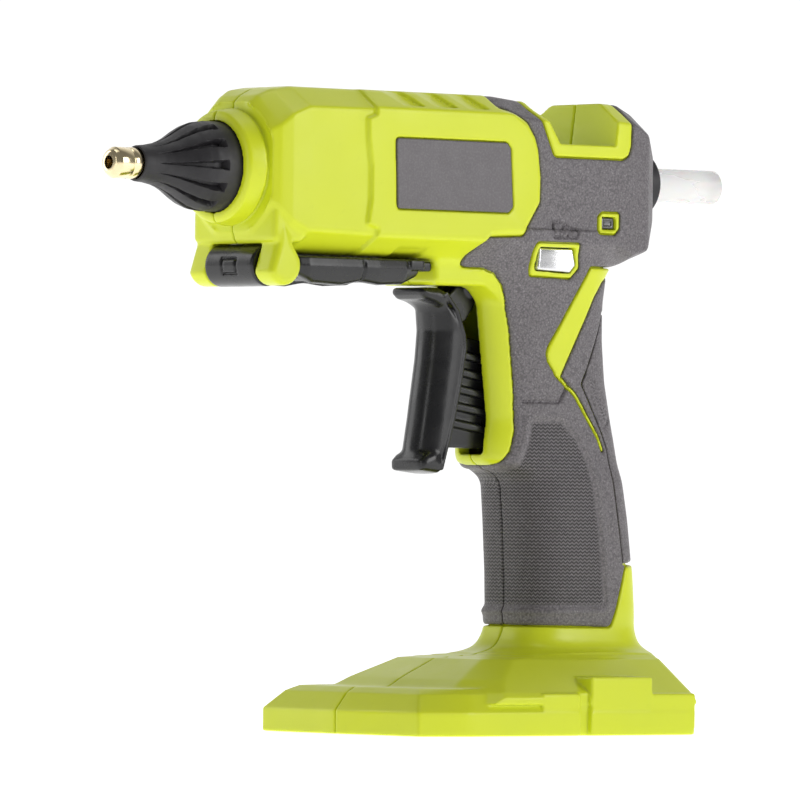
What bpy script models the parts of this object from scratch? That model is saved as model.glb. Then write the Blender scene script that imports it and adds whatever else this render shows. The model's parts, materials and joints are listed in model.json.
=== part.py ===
"""Cordless hot glue gun: clamshell housing on a battery foot, trigger feed and fold-out drip tray.

Run with: blender --background --python part.py
Frame: nozzle towards -X, +Z up, the parting plane at y = 0, the foot's rim on z = 0.
Sizes in this script are millimetres; MM turns them into Blender's metres.
"""

import math

import bmesh
import bpy
from mathutils import Matrix, Vector

MM = 0.001

# Driving dimensions
TIP_X = -129.0  # nozzle tip; every station d below is a distance behind it
AXIS_Z = 181.0  # axis of nozzle, heating chamber and glue stick
LENGTH = 258.0  # nozzle tip to the end of the glue stick
GAP = 0.3  # clearance between touching pieces
WALL = 3.0  # housing wall
SKIN = 1.2  # soft overmould thickness
STICK_R = 5.6  # full-size glue stick
STICK_FRONT_D = 76.0
BARREL_HALF = 24.0
COLLAR_D = 226.0  # rear face of the inlet collar
FOOT_HALF = 44.0
FOOT_REAR_D = 214.5
SOCKET_TOP_Z = 71.0

# Joint axes
TRIGGER_PIVOT = (149.5, 146.0)
DRIVE_PIN_Z = 170.0
TRAY_PIVOT = (56.0, 149.8)
JAW_PIVOT = (151.0, 194.0)

LIME = ("lime_plastic", (0.60, 0.76, 0.02), 0.38, 0.0)
CHARCOAL = ("charcoal_rubber", (0.09, 0.085, 0.095), 0.75, 0.0)
BLACK = ("black_plastic", (0.015, 0.015, 0.017), 0.3, 0.0)
SILICONE = ("black_silicone", (0.02, 0.02, 0.022), 0.6, 0.0)
BRASS = ("brass", (0.80, 0.62, 0.30), 0.2, 1.0)
STEEL = ("steel", (0.6, 0.6, 0.62), 0.3, 1.0)
ALUMINIUM = ("aluminium", (0.75, 0.76, 0.77), 0.35, 1.0)
GLUE = ("glue", (0.90, 0.90, 0.88), 0.4, 0.0)
BADGE = ("badge_grey", (0.12, 0.115, 0.125), 0.5, 0.0)
SILVER = ("silver_button", (0.75, 0.75, 0.76), 0.25, 0.3)
LENS = ("smoke_lens", (0.06, 0.06, 0.06), 0.15, 0.0)
BOARD = ("circuit_board", (0.03, 0.22, 0.08), 0.5, 0.0)
CREAM = ("heat_insulator", (0.80, 0.76, 0.66), 0.7, 0.0)
RED = ("red_wire", (0.6, 0.02, 0.02), 0.5, 0.0)


# ---------------------------------------------------------------- helpers

def clear_scene():
    for obj in list(bpy.data.objects):
        bpy.data.objects.remove(obj, do_unlink=True)


def new_collection(name):
    collection = bpy.data.collections.new(name)
    bpy.context.scene.collection.children.link(collection)
    return collection


def material(finish):
    name, colour, roughness, metallic = finish
    found = bpy.data.materials.get(name)
    if found:
        return found
    made = bpy.data.materials.new(name)
    made.use_nodes = True
    shader = made.node_tree.nodes["Principled BSDF"]
    shader.inputs["Base Color"].default_value = (*colour, 1.0)
    shader.inputs["Roughness"].default_value = roughness
    shader.inputs["Metallic"].default_value = metallic
    return made


def at(d, y, z):
    """The point d behind the nozzle tip, in metres."""
    return Vector((TIP_X + d, y, z)) * MM


def new_object(name, mesh, guide=True):
    obj = bpy.data.objects.new(name, mesh)
    (CUTTERS if guide else PARTS).objects.link(obj)
    obj.hide_render = guide
    obj.display_type = "WIRE" if guide else "TEXTURED"
    return obj


def from_bmesh(name, bm):
    bmesh.ops.recalc_face_normals(bm, faces=bm.faces)
    bmesh.ops.triangulate(bm, faces=bm.faces)
    mesh = bpy.data.meshes.new(name)
    bm.to_mesh(mesh)
    bm.free()
    return new_object(name, mesh)


def baked(obj, name):
    """The evaluated object as a plain mesh in world space, with the object itself removed."""
    bpy.context.view_layer.update()
    graph = bpy.context.evaluated_depsgraph_get()
    mesh = bpy.data.meshes.new_from_object(obj.evaluated_get(graph), depsgraph=graph)
    mesh.transform(obj.matrix_world)
    bpy.data.objects.remove(obj, do_unlink=True)
    bm = bmesh.new()
    bm.from_mesh(mesh)
    bmesh.ops.remove_doubles(bm, verts=bm.verts, dist=0.001 * MM)
    return from_bmesh(name, bm)


def loft(name, rings):
    """A closed solid through rings of equally many points, capped at both ends."""
    bm = bmesh.new()
    layers = [[bm.verts.new(point) for point in ring] for ring in rings]
    count = len(layers[0])
    for low, high in zip(layers, layers[1:]):
        for i in range(count):
            j = (i + 1) % count
            bm.faces.new((low[i], low[j], high[j], high[i]))
    bm.faces.new(layers[0])
    bm.faces.new(layers[-1])
    return from_bmesh(name, bm)


def plate(name, outline, y_low, y_high):
    """A side-view outline of (d, z) points, filled and extruded from y_low to y_high."""
    curve = bpy.data.curves.new(name, "CURVE")
    curve.dimensions = "2D"
    curve.fill_mode = "BOTH"
    curve.extrude = 0.5 * (y_high - y_low) * MM
    spline = curve.splines.new("POLY")
    spline.points.add(len(outline) - 1)
    spline.use_cyclic_u = True
    for point, (d, z) in zip(spline.points, outline):
        point.co = ((TIP_X + d) * MM, z * MM, 0.0, 1.0)
    obj = new_object(name, curve)
    obj.location = (0.0, 0.5 * (y_low + y_high) * MM, 0.0)
    obj.rotation_euler = (math.pi / 2, 0.0, 0.0)
    return baked(obj, name)


def box(name, d_low, d_high, y_low, y_high, z_low, z_high):
    outline = [(d_low, z_low), (d_high, z_low), (d_high, z_high), (d_low, z_high)]
    return plate(name, outline, y_low, y_high)


def turned(name, profile, z=AXIS_Z, steps=28):
    """A closed profile of (d, radius) points turned about the X line through y = 0 at height z."""
    bm = bmesh.new()
    points = [bm.verts.new((radius * MM, 0.0, (TIP_X + d) * MM)) for d, radius in profile]
    for first, second in zip(points, points[1:] + points[:1]):
        bm.edges.new((first, second))
    bmesh.ops.spin(
        bm, geom=bm.verts[:] + bm.edges[:], axis=(0, 0, 1), cent=(0, 0, 0),
        steps=steps, angle=2 * math.pi,
    )
    bmesh.ops.remove_doubles(bm, verts=bm.verts, dist=0.002 * MM)
    bmesh.ops.dissolve_degenerate(bm, edges=bm.edges, dist=0.001 * MM)
    bmesh.ops.transform(
        bm, verts=bm.verts,
        matrix=Matrix.Translation((0, 0, z * MM)) @ Matrix.Rotation(math.pi / 2, 4, "Y"),
    )
    return from_bmesh(name, bm)


def rod(name, d, z, radius, y_low, y_high, sides=16):
    """A round bar along Y."""
    bm = bmesh.new()
    bmesh.ops.create_cone(
        bm, cap_ends=True, segments=sides, radius1=radius * MM, radius2=radius * MM,
        depth=(y_high - y_low) * MM,
        matrix=Matrix.Translation(at(d, 0.5 * (y_low + y_high), z)) @ Matrix.Rotation(math.pi / 2, 4, "X"),
    )
    return from_bmesh(name, bm)


def bar(name, d_low, d_high, y, z, radius, sides=16):
    """A round bar along X."""
    bm = bmesh.new()
    bmesh.ops.create_cone(
        bm, cap_ends=True, segments=sides, radius1=radius * MM, radius2=radius * MM,
        depth=(d_high - d_low) * MM,
        matrix=Matrix.Translation(at(0.5 * (d_low + d_high), y, z)) @ Matrix.Rotation(math.pi / 2, 4, "Y"),
    )
    return from_bmesh(name, bm)


def wire(name, points, radius):
    """A round wire through the points, with filled caps."""
    curve = bpy.data.curves.new(name, "CURVE")
    curve.dimensions = "3D"
    curve.bevel_depth = radius * MM
    curve.bevel_resolution = 1
    curve.use_fill_caps = True
    spline = curve.splines.new("POLY")
    spline.points.add(len(points) - 1)
    for target, point in zip(spline.points, points):
        target.co = (*at(*point), 1.0)
    return baked(new_object(name, curve), name)


def copy_of(obj, name):
    return new_object(name, obj.data.copy())


def combine(obj, others, operation):
    """Boolean obj with each of the others in turn, keeping the triangulated result as its mesh.

    The forms meet at near-tangent faces, where the exact solver leaves holes, so this uses the manifold one.
    """
    for other in others:
        step = obj.modifiers.new(other.name, "BOOLEAN")
        step.operation = operation
        step.solver = "MANIFOLD"
        step.object = other
        bpy.context.view_layer.update()
        graph = bpy.context.evaluated_depsgraph_get()
        mesh = bpy.data.meshes.new_from_object(obj.evaluated_get(graph), depsgraph=graph)
        obj.modifiers.clear()
        bm = bmesh.new()
        bm.from_mesh(mesh)
        bmesh.ops.triangulate(bm, faces=bm.faces)
        bmesh.ops.remove_doubles(bm, verts=bm.verts, dist=0.001 * MM)
        bmesh.ops.dissolve_degenerate(bm, edges=bm.edges, dist=0.001 * MM)
        bm.to_mesh(mesh)
        bm.free()
        obj.data = mesh
    return obj


def join(obj, *others):
    return combine(obj, others, "UNION")


def cut(obj, *others):
    return combine(obj, others, "DIFFERENCE")


def keep(obj, *others):
    return combine(obj, others, "INTERSECT")


def finish(obj, name, look, smooth_angle=30.0):
    """Names a shape as a part of the object, with its material and shading."""
    obj.name = name
    obj.data.name = name
    CUTTERS.objects.unlink(obj)
    PARTS.objects.link(obj)
    obj.hide_render = False
    obj.display_type = "TEXTURED"
    obj.data.materials.clear()
    obj.data.materials.append(material(look))
    obj.data.shade_smooth()
    obj.data.set_sharp_from_angle(angle=math.radians(smooth_angle))
    return obj


def offset_outline(outline, distance):
    """A side-view outline moved outwards by distance, or inwards if it is negative."""
    area = sum(a[0] * b[1] - b[0] * a[1] for a, b in zip(outline, outline[1:] + outline[:1]))
    side = 1.0 if area > 0 else -1.0
    moved = []
    count = len(outline)
    for i in range(count):
        before = Vector(outline[i]) - Vector(outline[i - 1])
        after = Vector(outline[(i + 1) % count]) - Vector(outline[i])
        first = Vector((before.y, -before.x)).normalized() * side
        second = Vector((after.y, -after.x)).normalized() * side
        middle = (first + second).normalized()
        reach = min(distance / max(middle.dot(first), 0.35), abs(distance) * 2.5)
        moved.append(tuple(Vector(outline[i]) + middle * reach))
    return moved


# ---------------------------------------------------------------- outer forms

BARREL_STATIONS = (
    # d, half-width, top, bottom, flat half-width at the top and bottom, shoulder drop
    (50.0, 18.0, 18.0, -18.0, 7.5, 10.5),
    (53.0, 21.5, 22.5, -22.0, 9.0, 11.0),
    (57.5, 23.2, 25.0, -25.5, 11.0, 9.0),
    (64.0, BARREL_HALF, 26.0, -27.0, 12.0, 7.5),
    (88.0, BARREL_HALF, 26.8, -27.3, 12.5, 7.0),
    (196.0, BARREL_HALF, 26.3, -27.6, 12.5, 7.0),
    (205.0, 23.5, 25.0, -26.0, 12.0, 7.5),
    (212.0, 20.0, 20.0, -18.5, 10.0, 8.0),
    (221.0, 13.5, 13.0, -12.0, 6.0, 6.0),
)


def barrel_ring(d, half, top, bottom, flat, drop, inset):
    """An octagon with softened corners, square to X."""
    half, top, bottom = half - inset, top - inset, bottom + inset
    flat = flat - 0.4 * inset
    soft = 0.18
    corners = [
        (flat, top), (half, top - drop), (half, bottom + drop), (flat, bottom),
        (-flat, bottom), (-half, bottom + drop), (-half, top - drop), (-flat, top),
    ]
    ring = []
    for i, corner in enumerate(corners):
        here = Vector(corner)
        for other in (corners[i - 1], corners[(i + 1) % 8]):
            ring.append(here.lerp(Vector(other), soft))
    return [at(d, y, AXIS_Z + z) for y, z in ring]


def barrel_form(name, inset=0.0):
    stations = [list(station) for station in BARREL_STATIONS]
    stations[0][0] += inset
    stations[-1][0] -= inset
    return loft(name, [barrel_ring(*station, inset) for station in stations])


HANDLE_STATIONS = (
    # z, front d, rear d, half-width, share of it left at the front
    (28.0, 164.0, 217.0, 20.0, 0.85),
    (34.0, 170.0, 214.0, 18.0, 0.85),
    (52.0, 170.4, 212.8, 18.0, 0.85),
    (70.0, 168.0, 210.2, 18.3, 0.85),
    (79.0, 165.5, 208.7, 18.3, 0.85),
    (83.0, 160.0, 207.9, 18.0, 0.8),
    (87.0, 154.8, 207.2, 17.7, 0.78),
    (102.0, 153.2, 204.1, 17.5, 0.78),
    (115.0, 151.6, 201.8, 18.0, 0.78),
    (128.0, 149.9, 200.2, 18.6, 0.76),
    (140.0, 148.4, 199.5, 19.6, 0.74),
    (146.0, 143.5, 200.2, 20.4, 0.70),
    (152.0, 136.0, 201.0, 21.4, 0.72),
    (160.0, 132.0, 202.0, 21.8, 0.74),
)


def handle_ring(z, front, rear, half, front_share, inset, points=20, squareness=3.6):
    """A rounded oblong, narrower towards its front, square to Z."""
    front, rear, half = front + inset, rear - inset, half - inset
    centre, reach = 0.5 * (front + rear), 0.5 * (rear - front)
    ring = []
    for i in range(points):
        angle = 2 * math.pi * (i + 0.5) / points
        c, s = math.cos(angle), math.sin(angle)
        across = math.copysign(abs(c) ** (2 / squareness), c)
        aside = math.copysign(abs(s) ** (2 / squareness), s)
        width = half * (1.0 - (1.0 - front_share) * max(0.0, -across) ** 1.5)
        ring.append(at(centre + reach * across, width * aside, z))
    return ring


def handle_form(name, inset=0.0, z_low=0.0, z_high=200.0):
    stations = [station for station in HANDLE_STATIONS if z_low <= station[0] <= z_high]
    return loft(name, [handle_ring(*station, inset) for station in stations])


FRAME_TOP = [(124.8, 156.0), (124.8, 146.4), (126.4, 145.2), (146.0, 145.2), (156.0, 140.0), (156.0, 156.0)]


def frame_top_form(name, inset=0.0):
    """The bridge between the barrel's underside and the trigger frame."""
    return plate(name, offset_outline(FRAME_TOP, -inset), -14.2 + inset, 14.2 - inset)


def foot_ring(z, front, side, rear, corner_y, corner_d):
    """Half a battery foot's outline, prow to heel, mirrored to a closed ring."""
    half = [(front, 0.0), (front + 2.0, corner_y), (front + 2.0 + corner_d, side)]
    half += [(rear - 4.0, side), (rear, side - 4.0)]
    mirrored = [(d, -y) for d, y in reversed(half[1:])]
    return [at(d, y, z) for d, y in half + mirrored]


def foot_form(name):
    """The foot's stepped block, with the raised battery-latch pads on its flanks."""
    base = loft(name, [
        foot_ring(0.0, 96.0, FOOT_HALF, FOOT_REAR_D, 39.0, 18.5),
        foot_ring(6.9, 96.0, FOOT_HALF, FOOT_REAR_D, 39.0, 18.5),
        foot_ring(12.6, 103.0, 38.5, FOOT_REAR_D - 1.0, 33.0, 15.0),
        foot_ring(14.6, 112.0, 35.0, FOOT_REAR_D - 2.0, 29.0, 12.0),
    ])
    riser = loft("foot_riser", [
        foot_ring(12.0, 124.0, 36.0, FOOT_REAR_D - 1.5, 30.0, 10.0),
        foot_ring(17.0, 131.0, 34.0, FOOT_REAR_D - 2.5, 28.0, 10.0),
        foot_ring(24.8, 148.0, 27.0, FOOT_REAR_D - 0.5, 22.0, 8.0),
        foot_ring(29.5, 163.5, 20.5, FOOT_REAR_D + 1.0, 15.5, 6.0),
    ])
    pads = [
        box("pad_front", 147.0, 163.0, -43.6, 43.6, 3.0, 13.6),
        box("pad_rear", 168.0, 194.5, -43.6, 43.6, 3.0, 18.8),
        box("heel", 194.4, 212.5, -43.6, 43.6, 3.0, 12.9),
    ]
    return join(base, riser, *pads)


def chin_form(name):
    """The lime ears that carry the drip tray's hinge, and the block above its barrel."""
    d, z = TRAY_PIVOT
    lobe = [(d - 1.0, 163.0)]
    for i in range(13):
        angle = math.radians(200.0 - 220.0 * -i / 12.0)
        lobe.append((d + 6.6 * math.cos(angle), z + 6.6 * math.sin(angle)))
    ear = plate(name, lobe, -21.3, 21.3)
    block = box("chin_block", d - 4.6, d + 8.0, -21.0, 21.0, z + 7.2, 168.0)
    return join(ear, block)


def body_form(name, inset=0.0):
    """Barrel, handle and trigger frame as one solid."""
    form = barrel_form(name, inset)
    return join(form, handle_form("handle", inset), frame_top_form("frame_top", inset))


# ---------------------------------------------------------------- surface regions, side view

GREY_OUTLINE = [
    (148.7, 215.0), (148.7, 203.2), (152.4, 202.4), (158.8, 198.6), (162.2, 190.5), (163.5, 181.0),
    (163.0, 172.6), (154.5, 161.7), (140.4, 161.0), (134.0, 151.2), (144.0, 151.0), (152.0, 146.0),
    (156.5, 131.4), (159.0, 113.0), (160.2, 99.2), (158.8, 92.0), (155.5, 86.0), (149.0, 84.0),
    (149.0, 35.3), (199.0, 34.6), (201.0, 39.6), (206.0, 54.7), (226.0, 57.0), (226.0, 215.0),
]
STRIPE_OUTLINE = [
    (189.6, 150.6), (170.8, 126.3), (170.4, 122.0), (175.5, 115.2), (189.6, 142.6), (194.7, 149.0),
    (202.0, 147.0), (203.0, 152.0),
]
SADDLE_OUTLINE = [
    (163.6, 216.0), (164.2, 203.0), (169.0, 188.0), (198.4, 188.0), (201.9, 192.4), (202.3, 203.0), (201.0, 216.0),
]
SADDLE_TROUGH = [(165.6, 216.0), (166.4, 203.0), (172.2, 192.2), (194.8, 192.2), (198.0, 216.0)]
BUTTON_FRAME = [(160.9, 159.9), (159.8, 151.6), (160.4, 148.9), (177.2, 148.4), (180.6, 152.0), (179.4, 159.9)]
BUTTON_HOLE = [(162.4, 158.4), (161.6, 151.7), (162.0, 150.6), (176.6, 150.0), (178.9, 152.7), (177.8, 158.4)]
LIGHT_FRAME = [(187.4, 163.4), (194.8, 163.2), (196.8, 165.2), (196.8, 170.4), (189.2, 170.4), (187.4, 168.9)]
LIGHT_HOLE = [(189.0, 164.8), (195.2, 164.8), (195.2, 168.9), (189.0, 168.9)]
BACKSTRAP_OUTLINE = [
    (222.0, 140.5), (195.5, 137.5), (187.5, 119.0), (185.2, 114.2), (195.2, 98.5), (197.9, 93.0),
    (201.2, 75.7), (204.4, 57.2), (222.0, 58.6),
]
BADGE_OUTLINE = [(99.7, 169.0), (147.0, 169.0), (148.8, 170.8), (147.6, 189.9), (146.0, 191.6), (98.9, 191.6)]
TRIGGER_SLOT = [(137.0, 160.0), (137.0, 140.0), (146.0, 90.8), (166.0, 90.8), (166.0, 160.0)]
NOSE_RING = [(42.8, 0.0), (42.8, 16.2), (44.0, 17.2), (49.0, 18.3), (56.0, 18.3), (56.0, 0.0)]
JAW = [(145.6, 187.8), (147.4, 187.6), (152.0, 190.6), (153.6, 195.0), (150.0, 196.6), (147.0, 194.0)]
TRIGGER_NECK = [(137.0, 141.0), (141.5, 132.0), (146.0, 134.0), (153.6, 145.0), (152.0, 149.0), (146.0, 149.5)]
TRIGGER_ARM = [(146.8, 147.0), (152.2, 147.0), (151.7, 171.6), (150.6, 172.6), (148.4, 172.6), (147.3, 171.6)]
TRIGGER_HOLLOW = [(131.4, 92.0), (150.0, 92.0), (150.0, 129.8), (140.2, 129.8), (138.0, 121.2), (134.0, 102.0)]
SHIELD = [
    (133.8, 96.6), (158.0, 96.6), (159.4, 127.0), (143.0, 129.3), (140.6, 129.3), (138.4, 121.2), (134.4, 102.0),
]
BOARD_OUTLINE = [(158.5, 153.0), (184.0, 153.0), (186.0, 160.0), (199.0, 164.0), (199.0, 176.0), (160.0, 176.0)]


def region(name, outline, grow, y_low=-60.0, y_high=60.0):
    return plate(name, offset_outline(outline, grow), y_low, y_high)


# ---------------------------------------------------------------- housing

def inner_space():
    """Everything that is hollow inside the housing, with its pillars, rails and saddle left standing."""
    space = barrel_form("space", WALL)
    join(space, handle_form("handle_space", WALL, 79.0), frame_top_form("frame_space", WALL))
    socket = box("socket_space", 176.5, 203.0, -11.0, 11.0, -1.0, 82.0)
    recess = loft("foot_recess", [
        foot_ring(-1.0, 100.0, 40.5, 211.0, 35.5, 17.0),
        foot_ring(7.0, 100.0, 40.5, 211.0, 35.5, 17.0),
        foot_ring(9.5, 106.0, 35.0, 208.0, 30.0, 15.0),
    ])
    join(space, socket, recess)
    saddle = region("saddle_floor", SADDLE_TROUGH, WALL)
    return cut(space, saddle, *pivot_bosses(), *screw_bosses(), *guide_rails())


def openings():
    """Holes through the housing's wall."""
    d, z = TRAY_PIVOT
    slot = plate("trigger_slot", TRIGGER_SLOT, -5.9, 5.9)
    return [
        slot,
        bar("nozzle_hole", 30.0, 60.0, 0.0, AXIS_Z, 14.7, 32),
        bar("inlet_hole", 205.0, 240.0, 0.0, AXIS_Z, 10.9, 28),
        rod("tray_barrel_space", d, z, 7.4, -12.4, 12.4, 24),
        box("tray_arm_space", d, d + 12.0, -12.4, 12.4, z - 8.0, z + 5.6),
        rod("tray_pin_hole", d, z, 1.8, -18.0, 18.0),
        rod("trigger_pin_hole", *TRIGGER_PIVOT, 1.8, -11.5, 11.5),
        plate("button_hole", BUTTON_HOLE, -60.0, -9.0),
        plate("light_hole", LIGHT_HOLE, -60.0, -9.0),
        region("badge_recess_left", BADGE_OUTLINE, GAP, -60.0, -BARREL_HALF + 1.3),
        region("badge_recess_right", BADGE_OUTLINE, GAP, BARREL_HALF - 1.3, 60.0),
        plate("saddle_trough", SADDLE_TROUGH, -60.0, 60.0),
    ]


def screw_places():
    """Side-view places of the housing screws, front to back, with the foot's own screw last."""
    return [(70.0, 160.5), (70.0, 201.0), (118.0, 159.0), (178.0, 104.0), (203.0, 164.0), (150.0, 17.6)]


def pivot_bosses():
    """Sleeves inside the frame that hold the trigger's pivot pin."""
    d, z = TRIGGER_PIVOT
    return [rod("boss_left", d, z, 4.0, -30.0, -6.2), rod("boss_right", d, z, 4.0, 6.2, 30.0)]


def guide_rails():
    """Ledges on both walls that the feed carriage slides between."""
    d_low, d_high, inner, z_low, z_high = 128.0, 172.0, 9.8, AXIS_Z - 2.0, AXIS_Z + 2.0
    return [
        box("rail_left", d_low, d_high, -30.0, -inner, z_low, z_high),
        box("rail_right", d_low, d_high, inner, 30.0, z_low, z_high),
    ]


def screw_bosses():
    """Pillars that run from wall to wall and are parted with the halves."""
    places = screw_places()[:5]
    return [rod(f"screw_boss_{i}", d, z, 3.4, -30.0, 30.0, 12) for i, (d, z) in enumerate(places)]


def screw_holes():
    holes = []
    for i, (d, z) in enumerate(screw_places()):
        holes.append(rod(f"screw_hole_{i}", d, z, 1.7, -10.0, 60.0, 12))
        holes.append(rod(f"screw_head_hole_{i}", d, z, 3.3, 12.0, 60.0, 12))
    return holes


def housing_solid():
    """Both halves of the hard housing before they are parted."""
    outer = body_form("housing", 0.0)
    rebate = cut(body_form("rebate", -1.0), body_form("rebate_core", SKIN + GAP))
    grey = region("grey_rebate", GREY_OUTLINE, 0.5 * GAP)
    lime_spots = [
        region("stripe_keep", STRIPE_OUTLINE, -0.5 * GAP, -62.0, 62.0),
        region("saddle_keep", SADDLE_OUTLINE, -0.5 * GAP, -62.0, 62.0),
        region("button_keep", BUTTON_FRAME, -0.5 * GAP, -62.0, 0.0),
        region("light_keep", LIGHT_FRAME, -0.5 * GAP, -62.0, 0.0),
    ]
    keep(rebate, cut(grey, *lime_spots))
    join(outer, foot_form("foot"), chin_form("chin"))
    join(outer, turned("nose_ring", NOSE_RING))
    return cut(outer, rebate, inner_space(), *openings(), *screw_holes())


def make_housing():
    whole = housing_solid()
    half_gap = 0.5 * GAP
    left = keep(copy_of(whole, "left"), box("left_side", -20.0, 300.0, -80.0, -half_gap, -10.0, 260.0))
    right = keep(whole, box("right_side", -20.0, 300.0, half_gap, 80.0, -10.0, 260.0))
    finish(left, "housing_left", LIME)
    finish(right, "housing_right", LIME)


def make_overmoulds():
    """The soft grey skin on the rear body and handle, one piece on each side."""
    skin = cut(body_form("skin", 0.0), body_form("skin_core", SKIN))
    grey = region("grey_area", GREY_OUTLINE, -0.5 * GAP)
    cut(
        grey,
        region("stripe_gap", STRIPE_OUTLINE, 0.5 * GAP, -62.0, 62.0),
        region("saddle_gap", SADDLE_OUTLINE, 0.5 * GAP, -62.0, 62.0),
        region("button_gap", BUTTON_FRAME, 0.5 * GAP, -62.0, 0.0),
        region("light_gap", LIGHT_FRAME, 0.5 * GAP, -62.0, 0.0),
    )
    keep(skin, grey)
    cut(skin, bar("inlet_gap", 205.0, 240.0, 0.0, AXIS_Z, 10.9, 28), *screw_holes())
    strap = keep(copy_of(skin, "strap"), region("strap_area", BACKSTRAP_OUTLINE, -0.5 * GAP))
    cut(skin, region("strap_gap", BACKSTRAP_OUTLINE, 0.5 * GAP))
    half_gap = 0.5 * GAP
    left = keep(copy_of(skin, "left_skin"), box("left_skin_side", -20.0, 300.0, -80.0, -half_gap, -10.0, 260.0))
    right = keep(skin, box("right_skin_side", -20.0, 300.0, half_gap, 80.0, -10.0, 260.0))
    finish(left, "overmould_left", CHARCOAL)
    finish(right, "overmould_right", CHARCOAL)
    finish(strap, "handle_backstrap", BADGE)


def make_badges():
    """Blank plates in the recesses on both sides of the barrel."""
    for name, y_low, y_high in (("badge_left", -24.4, -23.0), ("badge_right", 23.0, 24.4)):
        finish(plate(name, BADGE_OUTLINE, y_low, y_high), name, BADGE)


def make_screws():
    for i, (d, z) in enumerate(screw_places()):
        shank = rod("shank", d, z, 1.4, -9.0, 15.0, 10)
        join(shank, rod("head", d, z, 2.9, 12.3, 14.8, 12))
        finish(shank, f"housing_screw_{i + 1}", STEEL)


# ---------------------------------------------------------------- melt end

def make_nozzle():
    profile = [
        (0.0, 2.1), (0.0, 3.4), (0.9, 4.6), (2.2, 5.0), (10.0, 5.0), (10.0, 4.6), (16.0, 4.6),
        (16.0, 6.2), (44.0, 6.2), (44.0, 4.0), (52.0, 4.0), (52.0, 2.1),
    ]
    finish(turned("nozzle", profile), "nozzle", BRASS)


def make_boot():
    """The flared silicone boot over the nozzle, with a hollow rear."""
    profile = [(10.6, 5.3), (11.0, 5.7), (18.0, 6.7), (23.5, 8.8), (31.0, 12.9), (36.0, 14.4), (44.8, 14.4)]
    inside = [(44.8, 12.2), (36.5, 12.0), (28.0, 6.6), (15.6, 6.6), (15.6, 5.0), (10.6, 5.0)]
    finish(turned("boot", profile + inside, steps=36), "nozzle_boot", SILICONE)


def make_chamber():
    """Heating chamber with its bore, mounting collars, heater, clip and thermal fuse."""
    profile = [
        (46.0, 4.4), (46.0, 9.0), (52.5, 9.0), (52.5, 10.5), (92.0, 10.5), (92.0, 6.2), (62.0, 6.2),
        (57.0, 2.2), (52.6, 2.2), (52.6, 4.4),
    ]
    chamber = turned("chamber", profile)
    cut(chamber, box("heater_flat", 40.0, 100.0, -20.0, 20.0, AXIS_Z - 20.0, AXIS_Z - 8.4))
    finish(chamber, "heating_chamber", ALUMINIUM)
    finish(box("heater", 58.0, 88.0, -5.0, 5.0, AXIS_Z - 10.6, AXIS_Z - 8.7), "heater_element", CREAM)
    clip = turned("clip", [(66.0, 10.8), (66.0, 11.8), (80.0, 11.8), (80.0, 10.8)])
    cut(clip, box("clip_mouth", 60.0, 90.0, -20.0, 20.0, AXIS_Z + 4.0, AXIS_Z + 20.0))
    cut(clip, box("clip_floor", 60.0, 90.0, -5.3, 5.3, AXIS_Z - 20.0, AXIS_Z))
    channel = box("clip_channel", 66.0, 80.0, -6.6, 6.6, AXIS_Z - 12.2, AXIS_Z - 8.8)
    cut(channel, box("clip_inside", 60.0, 90.0, -5.3, 5.3, AXIS_Z - 11.0, AXIS_Z))
    finish(join(clip, channel), "heater_clip", STEEL)
    finish(bar("fuse", 66.0, 80.0, 0.0, AXIS_Z + 12.3, 1.5, 12), "thermal_fuse", STEEL)
    rear_mount = turned("rear_mount", [(86.0, 10.8), (86.0, 20.6), (90.0, 20.6), (90.0, 10.8)])
    cut(rear_mount, box("rear_mount_flat", 80.0, 95.0, -8.0, 8.0, AXIS_Z - 30.0, AXIS_Z - 8.0))
    finish(rear_mount, "chamber_mount_rear", CREAM)
    front = [(47.0, 9.3), (47.0, 14.2), (51.0, 14.2), (51.0, 9.3)]
    finish(turned("front_mount", front), "chamber_mount_front", CREAM)
    sleeve = [(92.4, 6.2), (92.4, 10.4), (96.0, 10.4), (97.0, 9.6), (108.0, 9.6), (108.0, 6.2)]
    finish(turned("sleeve", sleeve), "inlet_sleeve", SILICONE)


# ---------------------------------------------------------------- feed

def make_feed():
    """Carriage round the stick, gripper jaw on it, return spring in front of it."""
    body = bar("carriage", 141.0, 160.0, 0.0, AXIS_Z, 9.4, 28)
    join(
        body,
        box("fork", 145.0, 154.0, -6.2, 6.2, 166.2, 173.6),
        box("jaw_seat", 144.0, 155.0, -5.6, 5.6, 188.8, 196.8),
    )
    d, z = JAW_PIVOT
    cut(
        body,
        bar("stick_way", 130.0, 170.0, 0.0, AXIS_Z, 6.1, 28),
        box("arm_way", 140.0, 160.0, -2.9, 2.9, 160.0, 173.2),
        box("pin_way", TRIGGER_PIVOT[0] - 1.9, TRIGGER_PIVOT[0] + 1.9, -8.0, 8.0, 167.0, 172.2),
        box("jaw_way", 140.0, 160.0, -3.2, 3.2, 183.0, 200.0),
        rod("jaw_pin_way", d, z, 1.5, -8.0, 8.0, 12),
    )
    finish(body, "feed_carriage", BLACK)

    jaw = plate("jaw", JAW, -2.8, 2.8)
    cut(jaw, rod("jaw_bore", d, z, 1.4, -8.0, 8.0, 12))
    finish(jaw, "gripper_jaw", STEEL)
    finish(rod("jaw_pin", d, z, 1.15, -5.4, 5.4, 10), "gripper_pin", STEEL)

    turns, steps, radius = 7, 12, 8.2
    first, last = 109.2, 140.2
    points = []
    for i in range(turns * steps + 1):
        share = i / (turns * steps)
        angle = 2 * math.pi * turns * share
        along = first + (last - first) * share
        points.append((along, radius * math.cos(angle), AXIS_Z + radius * math.sin(angle)))
    finish(wire("spring", points, 0.55), "return_spring", STEEL)


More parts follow.
